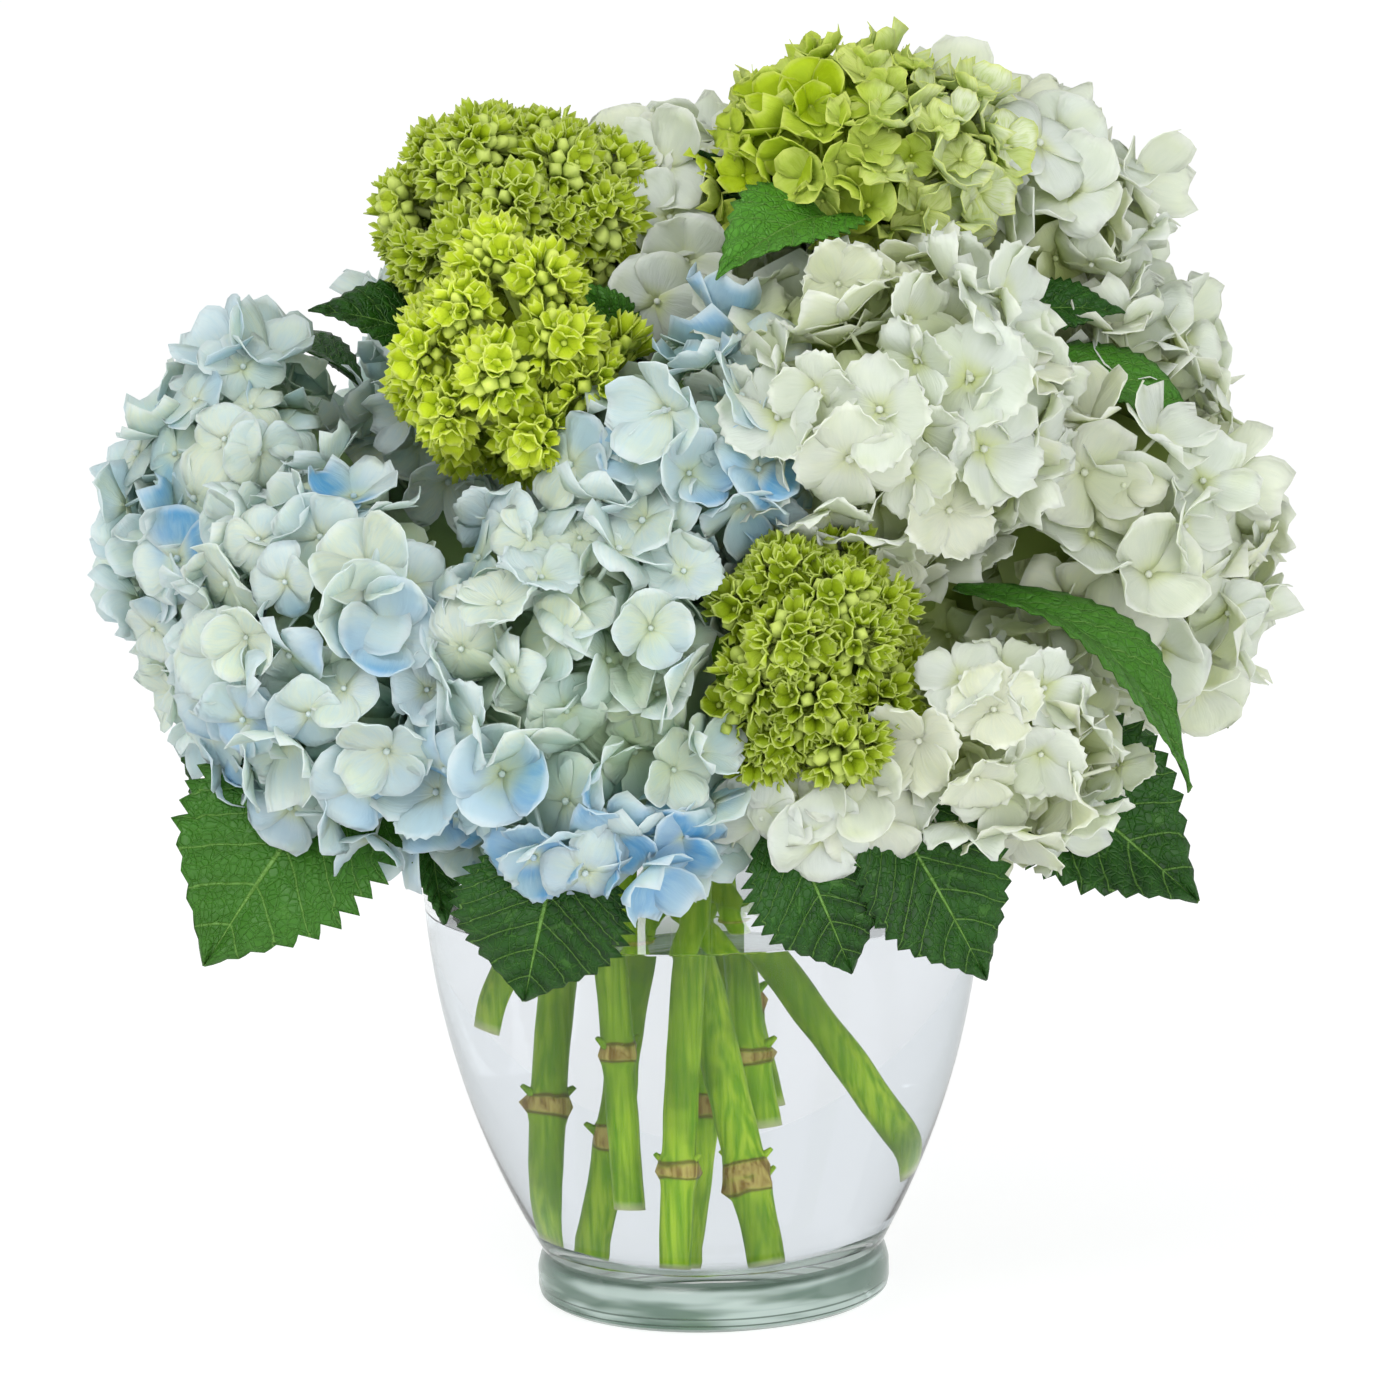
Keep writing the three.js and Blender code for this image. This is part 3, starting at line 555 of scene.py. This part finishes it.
def petalMaterial(name, colours):
    material, start = newMaterial(name)
    petal = start.node("ShaderNodeAttribute", {"attribute_name": "petal"})
    isSepal = petal.also("Alpha")
    parts = start.node("ShaderNodeSeparateColor", {}, {"Color": petal})
    reach, tint, blue = parts, parts.also("Green"), parts.also("Blue")
    deep = start.node("ShaderNodeAttribute", {"attribute_name": "deep"}).also("Fac")
    grain = start.node("ShaderNodeUVMap", {"uv_map": "grain"})
    veins = grain.times(15, 2, 1).cloud(1.3)
    body = reach.band(0.0, colours["heartReach"]).blend(colours["heart"], colours["rim"])
    body = (tint ** 1.5).blend(body, colours["other"])
    body = (blue * reach.band(0.0, 0.45)).blend(body, colours["blue"])
    spots = objectPlace(start)
    mottled = spots.cloud(75.0, 1.0)
    body = (mottled.band(0.5, 0.72) * colours["mottle"]).blend(body, colours["heart"])
    body = (veins.band(0.4, 0.75) * 0.45).blend(body, colours["vein"])
    # Painted highlight: a paler colour along the rim of each sepal
    side = start.math("ABSOLUTE", start.node("ShaderNodeSeparateXYZ", {}, {0: grain}) * 2 - 1)
    rim = start.math("MAXIMUM", side, reach).band(0.84, 1.0)
    body = (rim * 0.55).blend(body, colours["edge"])
    # Painted shade: florets far inside a head darker and greener, and the eyes, stalks and core there darker
    # still
    body = (deep * 0.85).blend(body, colours["deep"])
    hidden = (deep * 0.8).blend(colours["eye"], colours["innerShade"])
    colour = isSepal.blend(hidden, body)
    bump = start.node("ShaderNodeBump", {}, {"Strength": 0.5, "Distance": 0.0007, "Height": veins})
    skin = start.node("ShaderNodeBsdfPrincipled", {}, {
        "Base Color": colour, "Roughness": 0.5, "Normal": bump, "Specular IOR Level": 0.3})
    through = start.node("ShaderNodeBsdfTranslucent", {}, {"Color": colours["through"]})
    linkOutput(start, start.node("ShaderNodeMixShader", {}, {0: colours["thin"], 1: skin, 2: through}))
    return material


# Per kind of head, the colour for the sepal rims is a painted highlight, and the colours for inside the head and
# its core are painted shade
whiteColours = {"heart": tone(218, 226, 162), "rim": tone(229, 234, 237), "other": tone(234, 235, 223),
                "blue": tone(180, 205, 235), "vein": tone(216, 223, 222), "edge": tone(248, 249, 252),
                "eye": tone(198, 208, 128), "deep": tone(190, 206, 92), "innerShade": tone(112, 138, 38),
                "through": tone(239, 246, 200), "thin": 0.4, "heartReach": 0.4, "mottle": 0.25}
blueColours = {"heart": tone(234, 238, 192), "rim": tone(229, 238, 242), "other": tone(240, 241, 218),
               "blue": tone(84, 166, 224), "vein": tone(196, 222, 238), "edge": tone(240, 246, 250),
               "eye": tone(200, 212, 140), "deep": tone(188, 212, 152), "innerShade": tone(114, 148, 74),
               "through": tone(226, 242, 236), "thin": 0.42, "heartReach": 0.42, "mottle": 0.35}
limeColours = {"heart": tone(166, 192, 16), "rim": tone(190, 212, 26), "other": tone(230, 238, 146),
               "blue": tone(242, 246, 222), "vein": tone(176, 200, 30), "edge": tone(232, 240, 128),
               "eye": tone(160, 180, 40), "deep": tone(146, 168, 16), "innerShade": tone(88, 108, 14),
               "through": tone(204, 226, 30), "thin": 0.34, "heartReach": 0.5, "mottle": 0.4}

rng = random.Random(11)
plainFlorets = floretMix(rng, {"flat": 4, "bowl": 3, "fold": 2, "ruffled": 2}, 0.0)
fringedFlorets = floretMix(rng, {"flat": 2, "bowl": 2, "ruffled": 3}, 0.03,
                           {**floretSettings, "rows": 7, "columns": 8})
innerFlorets = floretMix(rng, {"bowl": 2, "ruffled": 2}, 0.0, {**floretSettings, "rows": 3, "columns": 2})
cuppedFlorets = floretMix(rng, {"bowl": 5, "ruffled": 3}, 0.0, {**floretSettings, "rows": 3, "columns": 4})
whitePetals = petalMaterial("whitePetals", whiteColours)
bluePetals = petalMaterial("bluePetals", blueColours)
limePetals = petalMaterial("limePetals", limeColours)
for name, head in heads.items():
    if head["kind"] == "blue":
        shapes = fringedFlorets[:3] + plainFlorets if name == "blue_head_front" else plainFlorets
        growShowyHead(name, rng, shapes, innerFlorets, bluePetals,
                      {**floretSettings, "slot": "blue_petals", "size": 0.81})
    if head["kind"] == "white":
        shapes = fringedFlorets if name in ("white_head_low", "white_head_middle") else plainFlorets
        size = {"white_head_low": 0.84, "white_head_middle": 0.9}.get(name, 0.92)
        growShowyHead(name, rng, shapes, innerFlorets, whitePetals,
                      {**floretSettings, "slot": "white_petals", "size": size})
    if head["kind"] == "lime":
        growShowyHead(name, rng, cuppedFlorets, innerFlorets, limePetals,
                      {**floretSettings, "slot": "green_petals", "size": 0.5, "sizes": (0.75, 1.3)})
print("showy heads")

# Young green heads: umbels of buds and small cups on pale stalks
budSettings = {"umbelSpacing": 19, "umbelRadius": 10.5, "spacing": 5.0, "columns": 2, "rows": 3, "smallRows": 2,
               "smallCup": 6.5, "thickness": 0.35, "stalk": 6, "share": 0.72, "core": 0.62, "depth": 0.85}


def budMesh(size, tall):
    bm = newPetalMesh()
    shade = bm.verts.layers.float_color["petal"]
    bud = bmesh.ops.create_uvsphere(bm, u_segments=8, v_segments=5, radius=size * 0.5 * mm)["verts"]
    for vert in bud:
        ridge = 1 + 0.16 * math.cos(4 * math.atan2(vert.co.y, vert.co.x)) * (1 if vert.co.z > 0 else 0.3)
        vert.co = Vector((vert.co.x * ridge, vert.co.y * ridge, vert.co.z * tall + 0.25 * size * mm))
        vert[shade] = (min(1, max(0, vert.co.z / (0.9 * size * mm))), 0, 0, 1)
    return finishBud(bm)


def cupMesh(size, lift, rng):
    bm = newPetalMesh()
    settings = {**budSettings, "rows": budSettings["smallRows" if size < budSettings["smallCup"] else "rows"]}
    for i in range(4):
        shape = {"length": size * 0.56, "width": size * 0.8, "lift": lift * rng.uniform(0.85, 1.15),
                 "curl": rng.uniform(-0.25, 0.1) - 0.2 * max(0, lift - 1), "cup": 0.3, "wave": 0.04, "fringe": 0,
                 "taper": 0.4}
        addSepal(bm, settings, shape, i * math.tau / 4 + rng.uniform(-0.15, 0.15), rng)
    closeShell(bm, budSettings["thickness"])
    addEye(bm, size * 0.12, size * 0.12)
    return finishBud(bm)


def finishBud(bm):
    addStalk(bm, budSettings["stalk"])
    return meshFrom(bm, "bud")


def addTaperedStalk(bm, start, end, thick, thin, segments=6):
    way = Vector(end) - Vector(start)
    stalk = bmesh.ops.create_cone(bm, cap_ends=True, segments=segments, radius1=thick * mm, radius2=thin * mm,
                                  depth=way.length * mm)["verts"]
    turn = way.to_track_quat("Z", "Y").to_matrix().to_4x4()
    middle = Matrix.Translation((Vector(start) + way / 2) * mm)
    bmesh.ops.transform(bm, matrix=middle @ turn, verts=stalk)
    shade = bm.verts.layers.float_color["petal"]
    for vert in stalk:
        vert[shade] = (0, 0, 0, 1)


def growBudHead(name, rng, kinds, material, settings):
    head = heads[name]
    bm = newPetalMesh()
    middle = Vector(head["at"])
    root = middle + (bouquetHeart - middle).normalized() * 12
    centres = [(at + way * rng.uniform(-4, 3), way)
               for at, way in placesOn(name, settings["share"], settings["umbelSpacing"], rng, settings["depth"])]
    for centre, way in centres:
        growUmbel(bm, name, centre, way, kinds, rng, settings)
    for centre, way in centres:  # after the copies, which count on the order of the vertices
        addTaperedStalk(bm, root, centre, 1.9, 1.3)
    addCore(bm, head, settings["core"])
    return dress(objectFrom(bm, name + "Buds", material), "green_petals", name)


def growUmbel(bm, name, centre, way, kinds, rng, settings):
    radius = settings["umbelRadius"] * rng.uniform(0.85, 1.1)
    count = countOn(radius, settings["spacing"])
    for i in range(count):
        spread = evenWay(i, count)
        if spread.z < -0.1:  # nothing on its underside
            break
        normal = way.to_track_quat("Z", "Y") @ spread
        at = centre + normal * radius
        if coveredBy(at, name, 0.9):
            continue
        mesh = rng.choices([kind for kind, weight in kinds], [weight for kind, weight in kinds])[0]
        matrix = turnedTo(at - normal * 3, normal, rng, 0.25, rng.uniform(0.8, 1.15))
        addCopy(bm, mesh, matrix, floretPaint(heads[name], rng))


# The edge colour is that of the painted highlight on the rims
def budMaterial(name, heart, rim, other, edge, through):
    colours = {**limeColours, "heart": heart, "rim": rim, "other": other, "vein": rim, "edge": edge,
               "eye": heart, "through": through, "thin": 0.22}
    return petalMaterial(name, colours)


rng = random.Random(23)
# Each kind with its weight in the mix
tightBuds = [(budMesh(3.6, 1.6), 3), (budMesh(4.4, 1.4), 2), (cupMesh(5.5, 1.9, rng), 4),
             (cupMesh(6.2, 1.4, rng), 3), (cupMesh(7.5, 0.9, rng), 2)]
openBuds = [(budMesh(3.4, 1.6), 3), (budMesh(4.2, 1.4), 2), (cupMesh(5.5, 1.8, rng), 3),
            (cupMesh(7, 1.2, rng), 2), (cupMesh(8.5, 0.8, rng), 1)]
budFinishes = {
    "green_head_top_left": budMaterial("mossBuds", tone(92, 124, 3), tone(176, 200, 26), tone(200, 220, 60),
                                       tone(228, 240, 150), tone(148, 182, 8)),
    "green_head_middle": budMaterial("limeBuds", tone(144, 182, 4), tone(216, 236, 38), tone(226, 242, 74),
                                     tone(240, 248, 146), tone(200, 230, 10)),
    "green_head_front": budMaterial("oliveBuds", tone(76, 104, 3), tone(156, 183, 16), tone(184, 206, 48),
                                    tone(224, 237, 140), tone(128, 158, 6)),
}
budShapes = {"green_head_top_left": {"umbelSpacing": 17},
             "green_head_front": {"umbelSpacing": 17, "depth": 0.68},
             "green_head_middle": {"share": 0.7, "core": 0.25, "umbelSpacing": 21, "umbelRadius": 10,
                                   "depth": 0.7}}
for name, shape in budShapes.items():
    kinds = openBuds if name == "green_head_middle" else tightBuds
    growBudHead(name, rng, kinds, budFinishes[name], {**budSettings, **shape})
print("green heads")

leafSettings = {"teeth": 14, "columns": 12, "toothDepth": 0.16, "quilt": 1.7, "veins": 6, "thickness": 0.5}


def addBlade(bm, leaf, settings, rng):
    base, tip, width, face, arch, fold = leaf
    base, axis = Vector(base), Vector(tip) - Vector(base)
    length = axis.length
    along = axis.normalized()
    face = Vector(face) - along * Vector(face).dot(along)
    face.normalize()
    across = along.cross(face)
    rows = settings["teeth"] * 3
    grid = addSheet(bm, settings["columns"], rows)
    wave = rng.uniform(0, math.tau)
    depths = [rng.uniform(0.5, 1.35) for i in range(2 * settings["teeth"] + 2)]
    for vert in grid:
        side, share = 2 * vert.co.x, vert.co.y + 0.5
        row = round(share * rows)
        tooth = ((row % 3) / 2 - 0.5) * depths[row // 3 * 2 + (side > 0)]
        half = 0.5 * width * math.sin(math.pi * min(max(share, 0.004), 0.996) ** 0.78) ** 0.8
        half *= 1 - 0.45 * max(0, (share - 0.6) / 0.4) ** 1.5
        reach = side * half * (1 + settings["toothDepth"] * tooth * abs(side) ** 6)
        slant = share * length + 0.1 * length * abs(side) * share * (1 - share)
        phase = settings["veins"] * (share - 0.7 * abs(side) ** 1.3 * (1 - share))
        puff = settings["quilt"] * abs(math.sin(math.pi * phase)) * min(1, 3 * abs(side)) * (1 - abs(side) ** 4)
        lift = arch * math.sin(math.pi * share) + fold * half * abs(side) ** 1.2 + puff
        lift += 0.045 * width * math.sin(8 * share + wave + 1.5 * side) * side ** 2
        vert.co = (base + along * slant + across * reach + face * lift) * mm
    return grid


def growLeaves(stem, blades, material, rng):
    bm = newPetalMesh()
    shade = bm.verts.layers.float_color["petal"]
    for i, leaf in enumerate(blades):
        for vert in addBlade(bm, leaf, leafSettings, rng):
            vert[shade] = (brightLeaves.get((stem, i), 0), 0, 0, 1)
    made = objectFrom(bm, stem + "Leaves", material)
    thicken(made, leafSettings["thickness"])
    return dress(made, "leaf", stem)


def leafMaterial():
    material, start = newMaterial("leafGreen")
    place = start.node("ShaderNodeUVMap", {"uv_map": "grain"})
    split = start.node("ShaderNodeSeparateXYZ", {}, {0: place})
    side = start.math("ABSOLUTE", split * 2 - 1)
    share = split.also("Y")
    spots = objectPlace(start)
    bend = spots.cloud(55.0) - 0.5
    phase = (share - side ** 1.3 * (1 - share) * 0.7) * leafSettings["veins"] + bend * 0.35
    nearVein = start.math("ABSOLUTE", start.math("FRACT", phase + 0.5) - 0.5)
    vein = 1 - nearVein.band(0.01, 0.05)
    midrib = 1 - side.band(0.01, 0.035)
    laid = start.node("ShaderNodeCombineXYZ", {}, {"X": side * 5 + bend, "Y": phase * 2.3, "Z": split * 3})
    ladder = start.node("ShaderNodeTexVoronoi", {"feature": "DISTANCE_TO_EDGE"}, {"Vector": laid, "Scale": 1.0})
    cross = 1 - ladder.band(0.0, 0.07)
    net = start.node("ShaderNodeTexVoronoi", {"feature": "DISTANCE_TO_EDGE"}, {"Vector": spots, "Scale": 420.0})
    small = 1 - net.band(0.0, 0.14)
    patch = spots.cloud(26.0, 3.0)
    green = patch.band(0.3, 0.7).blend(tone(12, 46, 8), tone(30, 78, 16))
    green = (nearVein.band(0.1, 0.45) * 0.4).blend(green, tone(42, 96, 18))
    paint = start.node("ShaderNodeAttribute", {"attribute_name": "petal"})
    bright = start.node("ShaderNodeSeparateColor", {}, {"Color": paint})
    green = (bright * 0.8).blend(green, tone(88, 154, 44))
    green = (small * 0.18).blend(green, tone(58, 112, 36))
    green = (cross * 0.3).blend(green, tone(84, 134, 50))
    lines = start.math("MAXIMUM", vein * 0.55, midrib * 0.8)
    colour = lines.blend(green, tone(118, 164, 76))
    height = lines * 0.8 + cross * 0.35 + small * 0.3
    bump = start.node("ShaderNodeBump", {"invert": True}, {"Strength": 0.8, "Distance": 0.001, "Height": height})
    skin = start.node("ShaderNodeBsdfPrincipled", {}, {
        "Base Color": colour, "Roughness": 0.42, "Normal": bump, "Specular IOR Level": 0.32})
    through = start.node("ShaderNodeBsdfTranslucent", {}, {"Color": tone(110, 170, 40)})
    linkOutput(start, start.node("ShaderNodeMixShader", {}, {0: 0.14, 1: skin, 2: through}))
    return material


rng = random.Random(5)
leafGreen = leafMaterial()
for stem, blades in leaves.items():
    growLeaves(stem, blades, leafGreen, rng)
print("leaves")

# Stems: the head each carries, its thickness, and the heights of its brown nodes
stems = {
    "stem_white_middle": {"head": "white_head_middle", "radius": 4, "knots": []},
    "stem_white_right": {"head": "white_head_right", "radius": 4.2, "knots": [61]},
    "stem_blue_front_left": {"head": "blue_head_front_left", "radius": 4.2, "knots": [78]},
    "stem_white_top_right": {"head": "white_head_top_right", "radius": 4, "knots": [53]},
    "stem_green_top_right": {"head": "green_head_top_right", "radius": 4.6, "knots": [47]},
    "stem_green_middle": {"head": "green_head_middle", "radius": 5.4, "knots": [42, 46]},
    "stem_white_top_back": {"head": "white_head_top_back", "radius": 3.8, "knots": [73]},
    "stem_blue_left": {"head": "blue_head_left", "radius": 4.4, "knots": []},
    "stem_blue_back_left": {"head": "blue_head_back_left", "radius": 4.2, "knots": [60]},
    "stem_white_back_right": {"head": "white_head_back_right", "radius": 4.2, "knots": [84]},
}
stemSettings = {"sides": 14, "step": 2.5, "slimmer": 0.9, "sliceFoot": 15.5, "sliceTop": 118, "slices": 8,
                "near": 16, "neck": 172, "knotReach": 2.8, "knotSwell": 0.26}


# The middle of a frame stem at a height, from the edges that cross that height near the last middle
def crossing(mesh, height, last):
    points = []
    for edge in mesh.edges:
        a, b = (mesh.vertices[i].co for i in edge.vertices)
        if (a.z - height) * (b.z - height) < 0:
            point = a.lerp(b, (height - a.z) / (b.z - a.z)) / mm
            if not last or (point - last).length < stemSettings["near"]:
                points.append(point)
    return sum(points, Vector()) / len(points)


def stemLine(name, stem):
    s = stemSettings
    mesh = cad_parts[name].data
    height = max(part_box(name)[0][2] / mm, s["sliceFoot"]) + 1.5
    line = []
    while height < s["sliceTop"]:
        line.append(crossing(mesh, height * mm, line[-1] if line else None))
        height += s["slices"]
    slope = (line[-1] - line[-3]).normalized()  # then straight on through the neck, and up into the head
    line.append(line[-1] + slope * (s["neck"] - line[-1].z) / slope.z)
    head = Vector(heads[stem["head"]]["at"])
    line.append(line[-1].lerp(head, 0.5) + Vector((0, 0, 8)))
    line.append(head)
    return line


def smoothLine(points, step):
    curve = bpy.data.curves.new("route", "CURVE")
    curve.dimensions = "3D"
    spline = curve.splines.new("BEZIER")
    spline.bezier_points.add(len(points) - 1)
    for bezier, point in zip(spline.bezier_points, points):
        bezier.co = point
        bezier.handle_left_type = bezier.handle_right_type = "AUTO"
    curve.resolution_u = max(2, round(8 / step))
    holder = bpy.data.objects.new("route", curve)
    scene.collection.objects.link(holder)
    bpy.context.view_layer.update()
    mesh = holder.to_mesh()
    line = [vert.co.copy() for vert in mesh.vertices]
    holder.to_mesh_clear()
    bpy.data.objects.remove(holder)
    return line


def addTube(bm, line, radii, sides, paint):
    rings = []
    shade = bm.verts.layers.float_color["petal"]
    for i, (point, radius) in enumerate(zip(line, radii)):
        way = (line[min(i + 1, len(line) - 1)] - line[max(i - 1, 0)]).normalized()
        turn = Vector((0, 0, 1)).rotation_difference(way).to_matrix().to_4x4()
        capped = i in (0, len(line) - 1)
        ring = bmesh.ops.create_circle(bm, cap_ends=capped, segments=sides, radius=radius * mm,
                                       matrix=Matrix.Translation(point * mm) @ turn)["verts"]
        for vert in ring:
            vert[shade] = paint(i)
        rings.append(ring)
    for low, high in zip(rings, rings[1:]):
        own = [edge for ring in (low, high) for edge in {e for v in ring for e in v.link_edges}
               if all(v in ring for v in edge.verts) and len(edge.link_faces) < 2]
        bmesh.ops.bridge_loops(bm, edges=own)
    return rings


def growStem(name, stem, material, rng):
    line = smoothLine(stemLine(name, stem), stemSettings["step"])
    bm = newPetalMesh()

    reach, swell = stemSettings["knotReach"], stemSettings["knotSwell"]

    def ringShare(point):
        return max([math.exp(-((point.z - knot) / reach) ** 2) for knot in stem["knots"]] + [0])

    width = stem["radius"] * stemSettings["slimmer"]
    radii = [width * (1 + swell * ringShare(p) + 0.05 * noise.noise(p * 0.12)) for p in line]
    rings = addTube(bm, line, radii, stemSettings["sides"], lambda i: (ringShare(line[i]), 0 if i else 1, 0, 1))
    for point, ring in zip(line, rings):  # a node is rough
        for vert in ring:
            rough = 0.5 * ringShare(point) * noise.noise(vert.co * 420)
            vert.co += (vert.co - point * mm) * rough
    for knot in stem["knots"]:
        addKnotBuds(bm, line, knot, stem["radius"], rng)
    bmesh.ops.recalc_face_normals(bm, faces=bm.faces[:])
    return dress(objectFrom(bm, name + "Stalk", material), "leaf", name)


# A pair of small bud stubs on the two sides of a node
def addKnotBuds(bm, line, knot, radius, rng):
    middle = min(line, key=lambda p: abs(p.z - knot))
    turn = rng.uniform(-0.5, 0.5)
    for side in (0, math.pi):
        way = Vector((math.cos(turn + side), math.sin(turn + side), 0.9)).normalized()
        start = middle + way * radius * 0.6
        addTaperedStalk(bm, start, start + way * 5, 1.7, 0.6, 7)


def stemMaterial():
    material, start = newMaterial("stemSkin")
    paint = start.node("ShaderNodeAttribute", {"attribute_name": "petal"})
    knot = start.node("ShaderNodeSeparateColor", {}, {"Color": paint})
    cut = knot.also("Green")
    spots = objectPlace(start)
    streaks = spots.times(700, 700, 40).cloud(1.0, 3.0)
    cloud = spots.cloud(60.0, 3.0)
    broad = spots.cloud(26.0, 1.0)
    height = start.node("ShaderNodeSeparateXYZ", {}, {0: spots}).also("Z") / mm
    green = streaks.band(0.3, 0.7).blend(tone(112, 168, 10), tone(174, 210, 50))
    green = (cloud.band(0.45, 0.7) * 0.6).blend(green, tone(74, 124, 12))
    green = (broad.band(0.42, 0.62) * 0.5).blend(green, tone(96, 138, 26))
    # Painted shadow: the stems darker from 70 mm up towards the water line, where the flowers shade them
    green = (height.band(70, 112) * 0.45).blend(green, tone(84, 118, 26))
    brown = streaks.band(0.3, 0.7).blend(tone(132, 106, 40), tone(198, 182, 100))
    patchy = knot + (cloud - 0.5) * 1.2
    colour = patchy.band(0.35, 0.7).blend(green, brown)
    scar = 1 - start.math("ABSOLUTE", patchy - 0.45).band(0.03, 0.16)
    colour = (scar * 0.7).blend(colour, tone(96, 66, 34))
    colour = cut.blend(colour, tone(206, 214, 160))
    bump = start.node("ShaderNodeBump", {}, {"Strength": 0.3, "Distance": 0.0006, "Height": streaks + knot})
    linkOutput(start, start.node("ShaderNodeBsdfPrincipled", {}, {
        "Base Color": colour, "Roughness": 0.45, "Normal": bump, "Specular IOR Level": 0.12}))
    return material


stemSkin = stemMaterial()
for name, stem in stems.items():
    growStem(name, stem, stemSkin, rng)
print("stems")

# Vase and water: the outline runs from the foot to the lip, as (radius, height)
vaseSettings = {"footHeight": 13, "bodyFootRadius": 47.3, "bellyRadius": 77.6, "bellyHeight": 128,
                "bellyPower": 2.12, "wall": 3.5, "floor": 15, "height": 172, "steps": 112,
                "water": 110, "waterSteps": 96, "waterGap": 0.15, "crease": 0.7}
shoulder = [(77.6, 128), (76.4, 139), (69.5, 149), (58.5, 156), (52, 162.5), (53, 168.5), (56.5, 172)]


def bellyRadiusAt(height):
    s = vaseSettings
    share = (s["bellyHeight"] - height) / (s["bellyHeight"] - s["footHeight"])
    return s["bellyRadius"] - (s["bellyRadius"] - s["bodyFootRadius"]) * share ** s["bellyPower"]


def vaseOutline():
    low, high = vaseSettings["footHeight"] + 1, vaseSettings["bellyHeight"]
    heights = [low + (high - low) * i / 24 for i in range(24)]
    belly = [Vector((bellyRadiusAt(height), 0, height)) for height in heights]
    return belly + smoothLine(asPoints(shoulder), 2)


def movedIn(outline, distance):
    moved = []
    for i, point in enumerate(outline):
        way = (outline[min(i + 1, len(outline) - 1)] - outline[max(i - 1, 0)]).normalized()
        moved.append(Vector((point.x - way.z * distance, 0, point.z + way.x * distance)))
    return moved


def spinProfile(points, name, steps, material):
    bm = bmesh.new()
    verts = [bm.verts.new(point * mm) for point in points]
    edges = [bm.edges.new(pair) for pair in zip(verts, verts[1:])]
    bmesh.ops.spin(bm, geom=verts + edges, cent=(0, 0, 0), axis=(0, 0, 1), angle=math.tau, steps=steps,
                   use_merge=True)
    bmesh.ops.remove_doubles(bm, verts=bm.verts[:], dist=1e-6)
    bmesh.ops.recalc_face_normals(bm, faces=bm.faces[:])
    for edge in bm.edges:
        edge.smooth = edge.calc_face_angle(0) < vaseSettings["crease"]
    return objectFrom(bm, name, material)


# Clear glass or water. Where it is seen edge-on the light has a longer way through it, and it looks darker
def clearMaterial(name, colour, edge, ior, edgeShare, body=0.0):
    material, start = newMaterial(name)
    spots = objectPlace(start)
    ripple = spots.cloud(16.0, 1.0)
    bump = start.node("ShaderNodeBump", {}, {"Strength": 0.05, "Distance": 0.002, "Height": ripple})
    clear = {"Roughness": 0.0, "IOR": ior, "Transmission Weight": 1.0, "Normal": bump}
    middle = start.node("ShaderNodeBsdfPrincipled", {}, {"Base Color": colour, **clear})
    rim = start.node("ShaderNodeBsdfPrincipled", {}, {"Base Color": edge, **clear})
    facing = start.node("ShaderNodeLayerWeight", {}, {"Blend": 0.5}).also("Facing")
    glass = start.node("ShaderNodeMixShader", {}, {0: facing ** 4 * edgeShare, 1: middle, 2: rim})
    # An opaque share of the foot carries painted light: dark rings low down and a dark line at the top, painted
    # where the glass edges show dark, and pale painted reflection streaks
    if body:
        height = start.node("ShaderNodeSeparateXYZ", {}, {0: spots}).also("Z") / mm
        cloud = spots.times(26, 26, 190).cloud(1.0)
        rings = start.math("SINE", height * 3.1 + cloud * 3).band(0.5, 0.95) * (1 - height.band(3.5, 6.5))
        top = height.band(11.0, 12.2)
        pale = cloud.band(0.42, 0.66).blend(edge, tone(184, 200, 194))
        shade = (start.math("MAXIMUM", rings, top) * 0.85).blend(pale, tone(54, 76, 62))
        paintedGlass = start.node("ShaderNodeBsdfPrincipled", {}, {"Base Color": shade, "Roughness": 0.2})
        glass = start.node("ShaderNodeMixShader", {}, {0: body, 1: glass, 2: paintedGlass})
    linkOutput(start, glass)
    return material


def asPoints(pairs):
    return [Vector((radius, 0, height)) for radius, height in pairs]


def addVase():
    s = vaseSettings
    outline = vaseOutline()
    foot = [(0, 0.6), (40, 0.6), (44, 0), (47, 0), (48.6, 1.2), (49, 3), (49, 8), (48.2, 11), (47, 12.6)]
    inner = [point for point in movedIn(outline, s["wall"]) if s["floor"] + 3 < point.z < s["height"] - 0.5]
    lip = [(55.6, 173), (54.2, 173), (53.2, 172.2)]
    floor = [(bellyRadiusAt(s["floor"]) - s["wall"] - 1.5, s["floor"] + 0.8), (40, s["floor"]), (0, s["floor"])]
    profile = asPoints(foot) + outline + asPoints(lip) + inner[::-1] + asPoints(floor)
    wall = clearMaterial("clearGlass", tone(250, 251, 252), tone(160, 172, 168), 1.14, 0.9)
    footGlass = clearMaterial("footGlass", tone(232, 242, 238), tone(98, 121, 108), 1.2, 0.9, 0.74)
    vase = spinProfile(profile, "vaseGlass", s["steps"], wall)
    vase.data.materials.append(footGlass)
    for face in vase.data.polygons:
        if face.center.z < (s["footHeight"] + 0.5) * mm:
            face.material_index = 1
    vase.visible_shadow = False
    dress(vase, "glass", "vase")
    inside = movedIn(outline, s["wall"] - s["waterGap"])
    wet = [point for point in inside if s["floor"] + 3 < point.z < s["water"]]
    top = [(wet[-1].x + 0.1, s["water"] + 0.8), (wet[-1].x - 1.5, s["water"] + 0.1), (0, s["water"])]
    under = s["floor"] - s["waterGap"]
    profile = asPoints([(0, under), (41, under)]) + wet + asPoints(top)
    clearWater = clearMaterial("clearWater", tone(231, 233, 235), tone(208, 216, 217), 1.33, 0.3)
    water = spinProfile(profile, "waterBody", s["waterSteps"], clearWater)
    water.visible_shadow = False
    dress(water, "water", "water")


addVase()
print("vase and water")
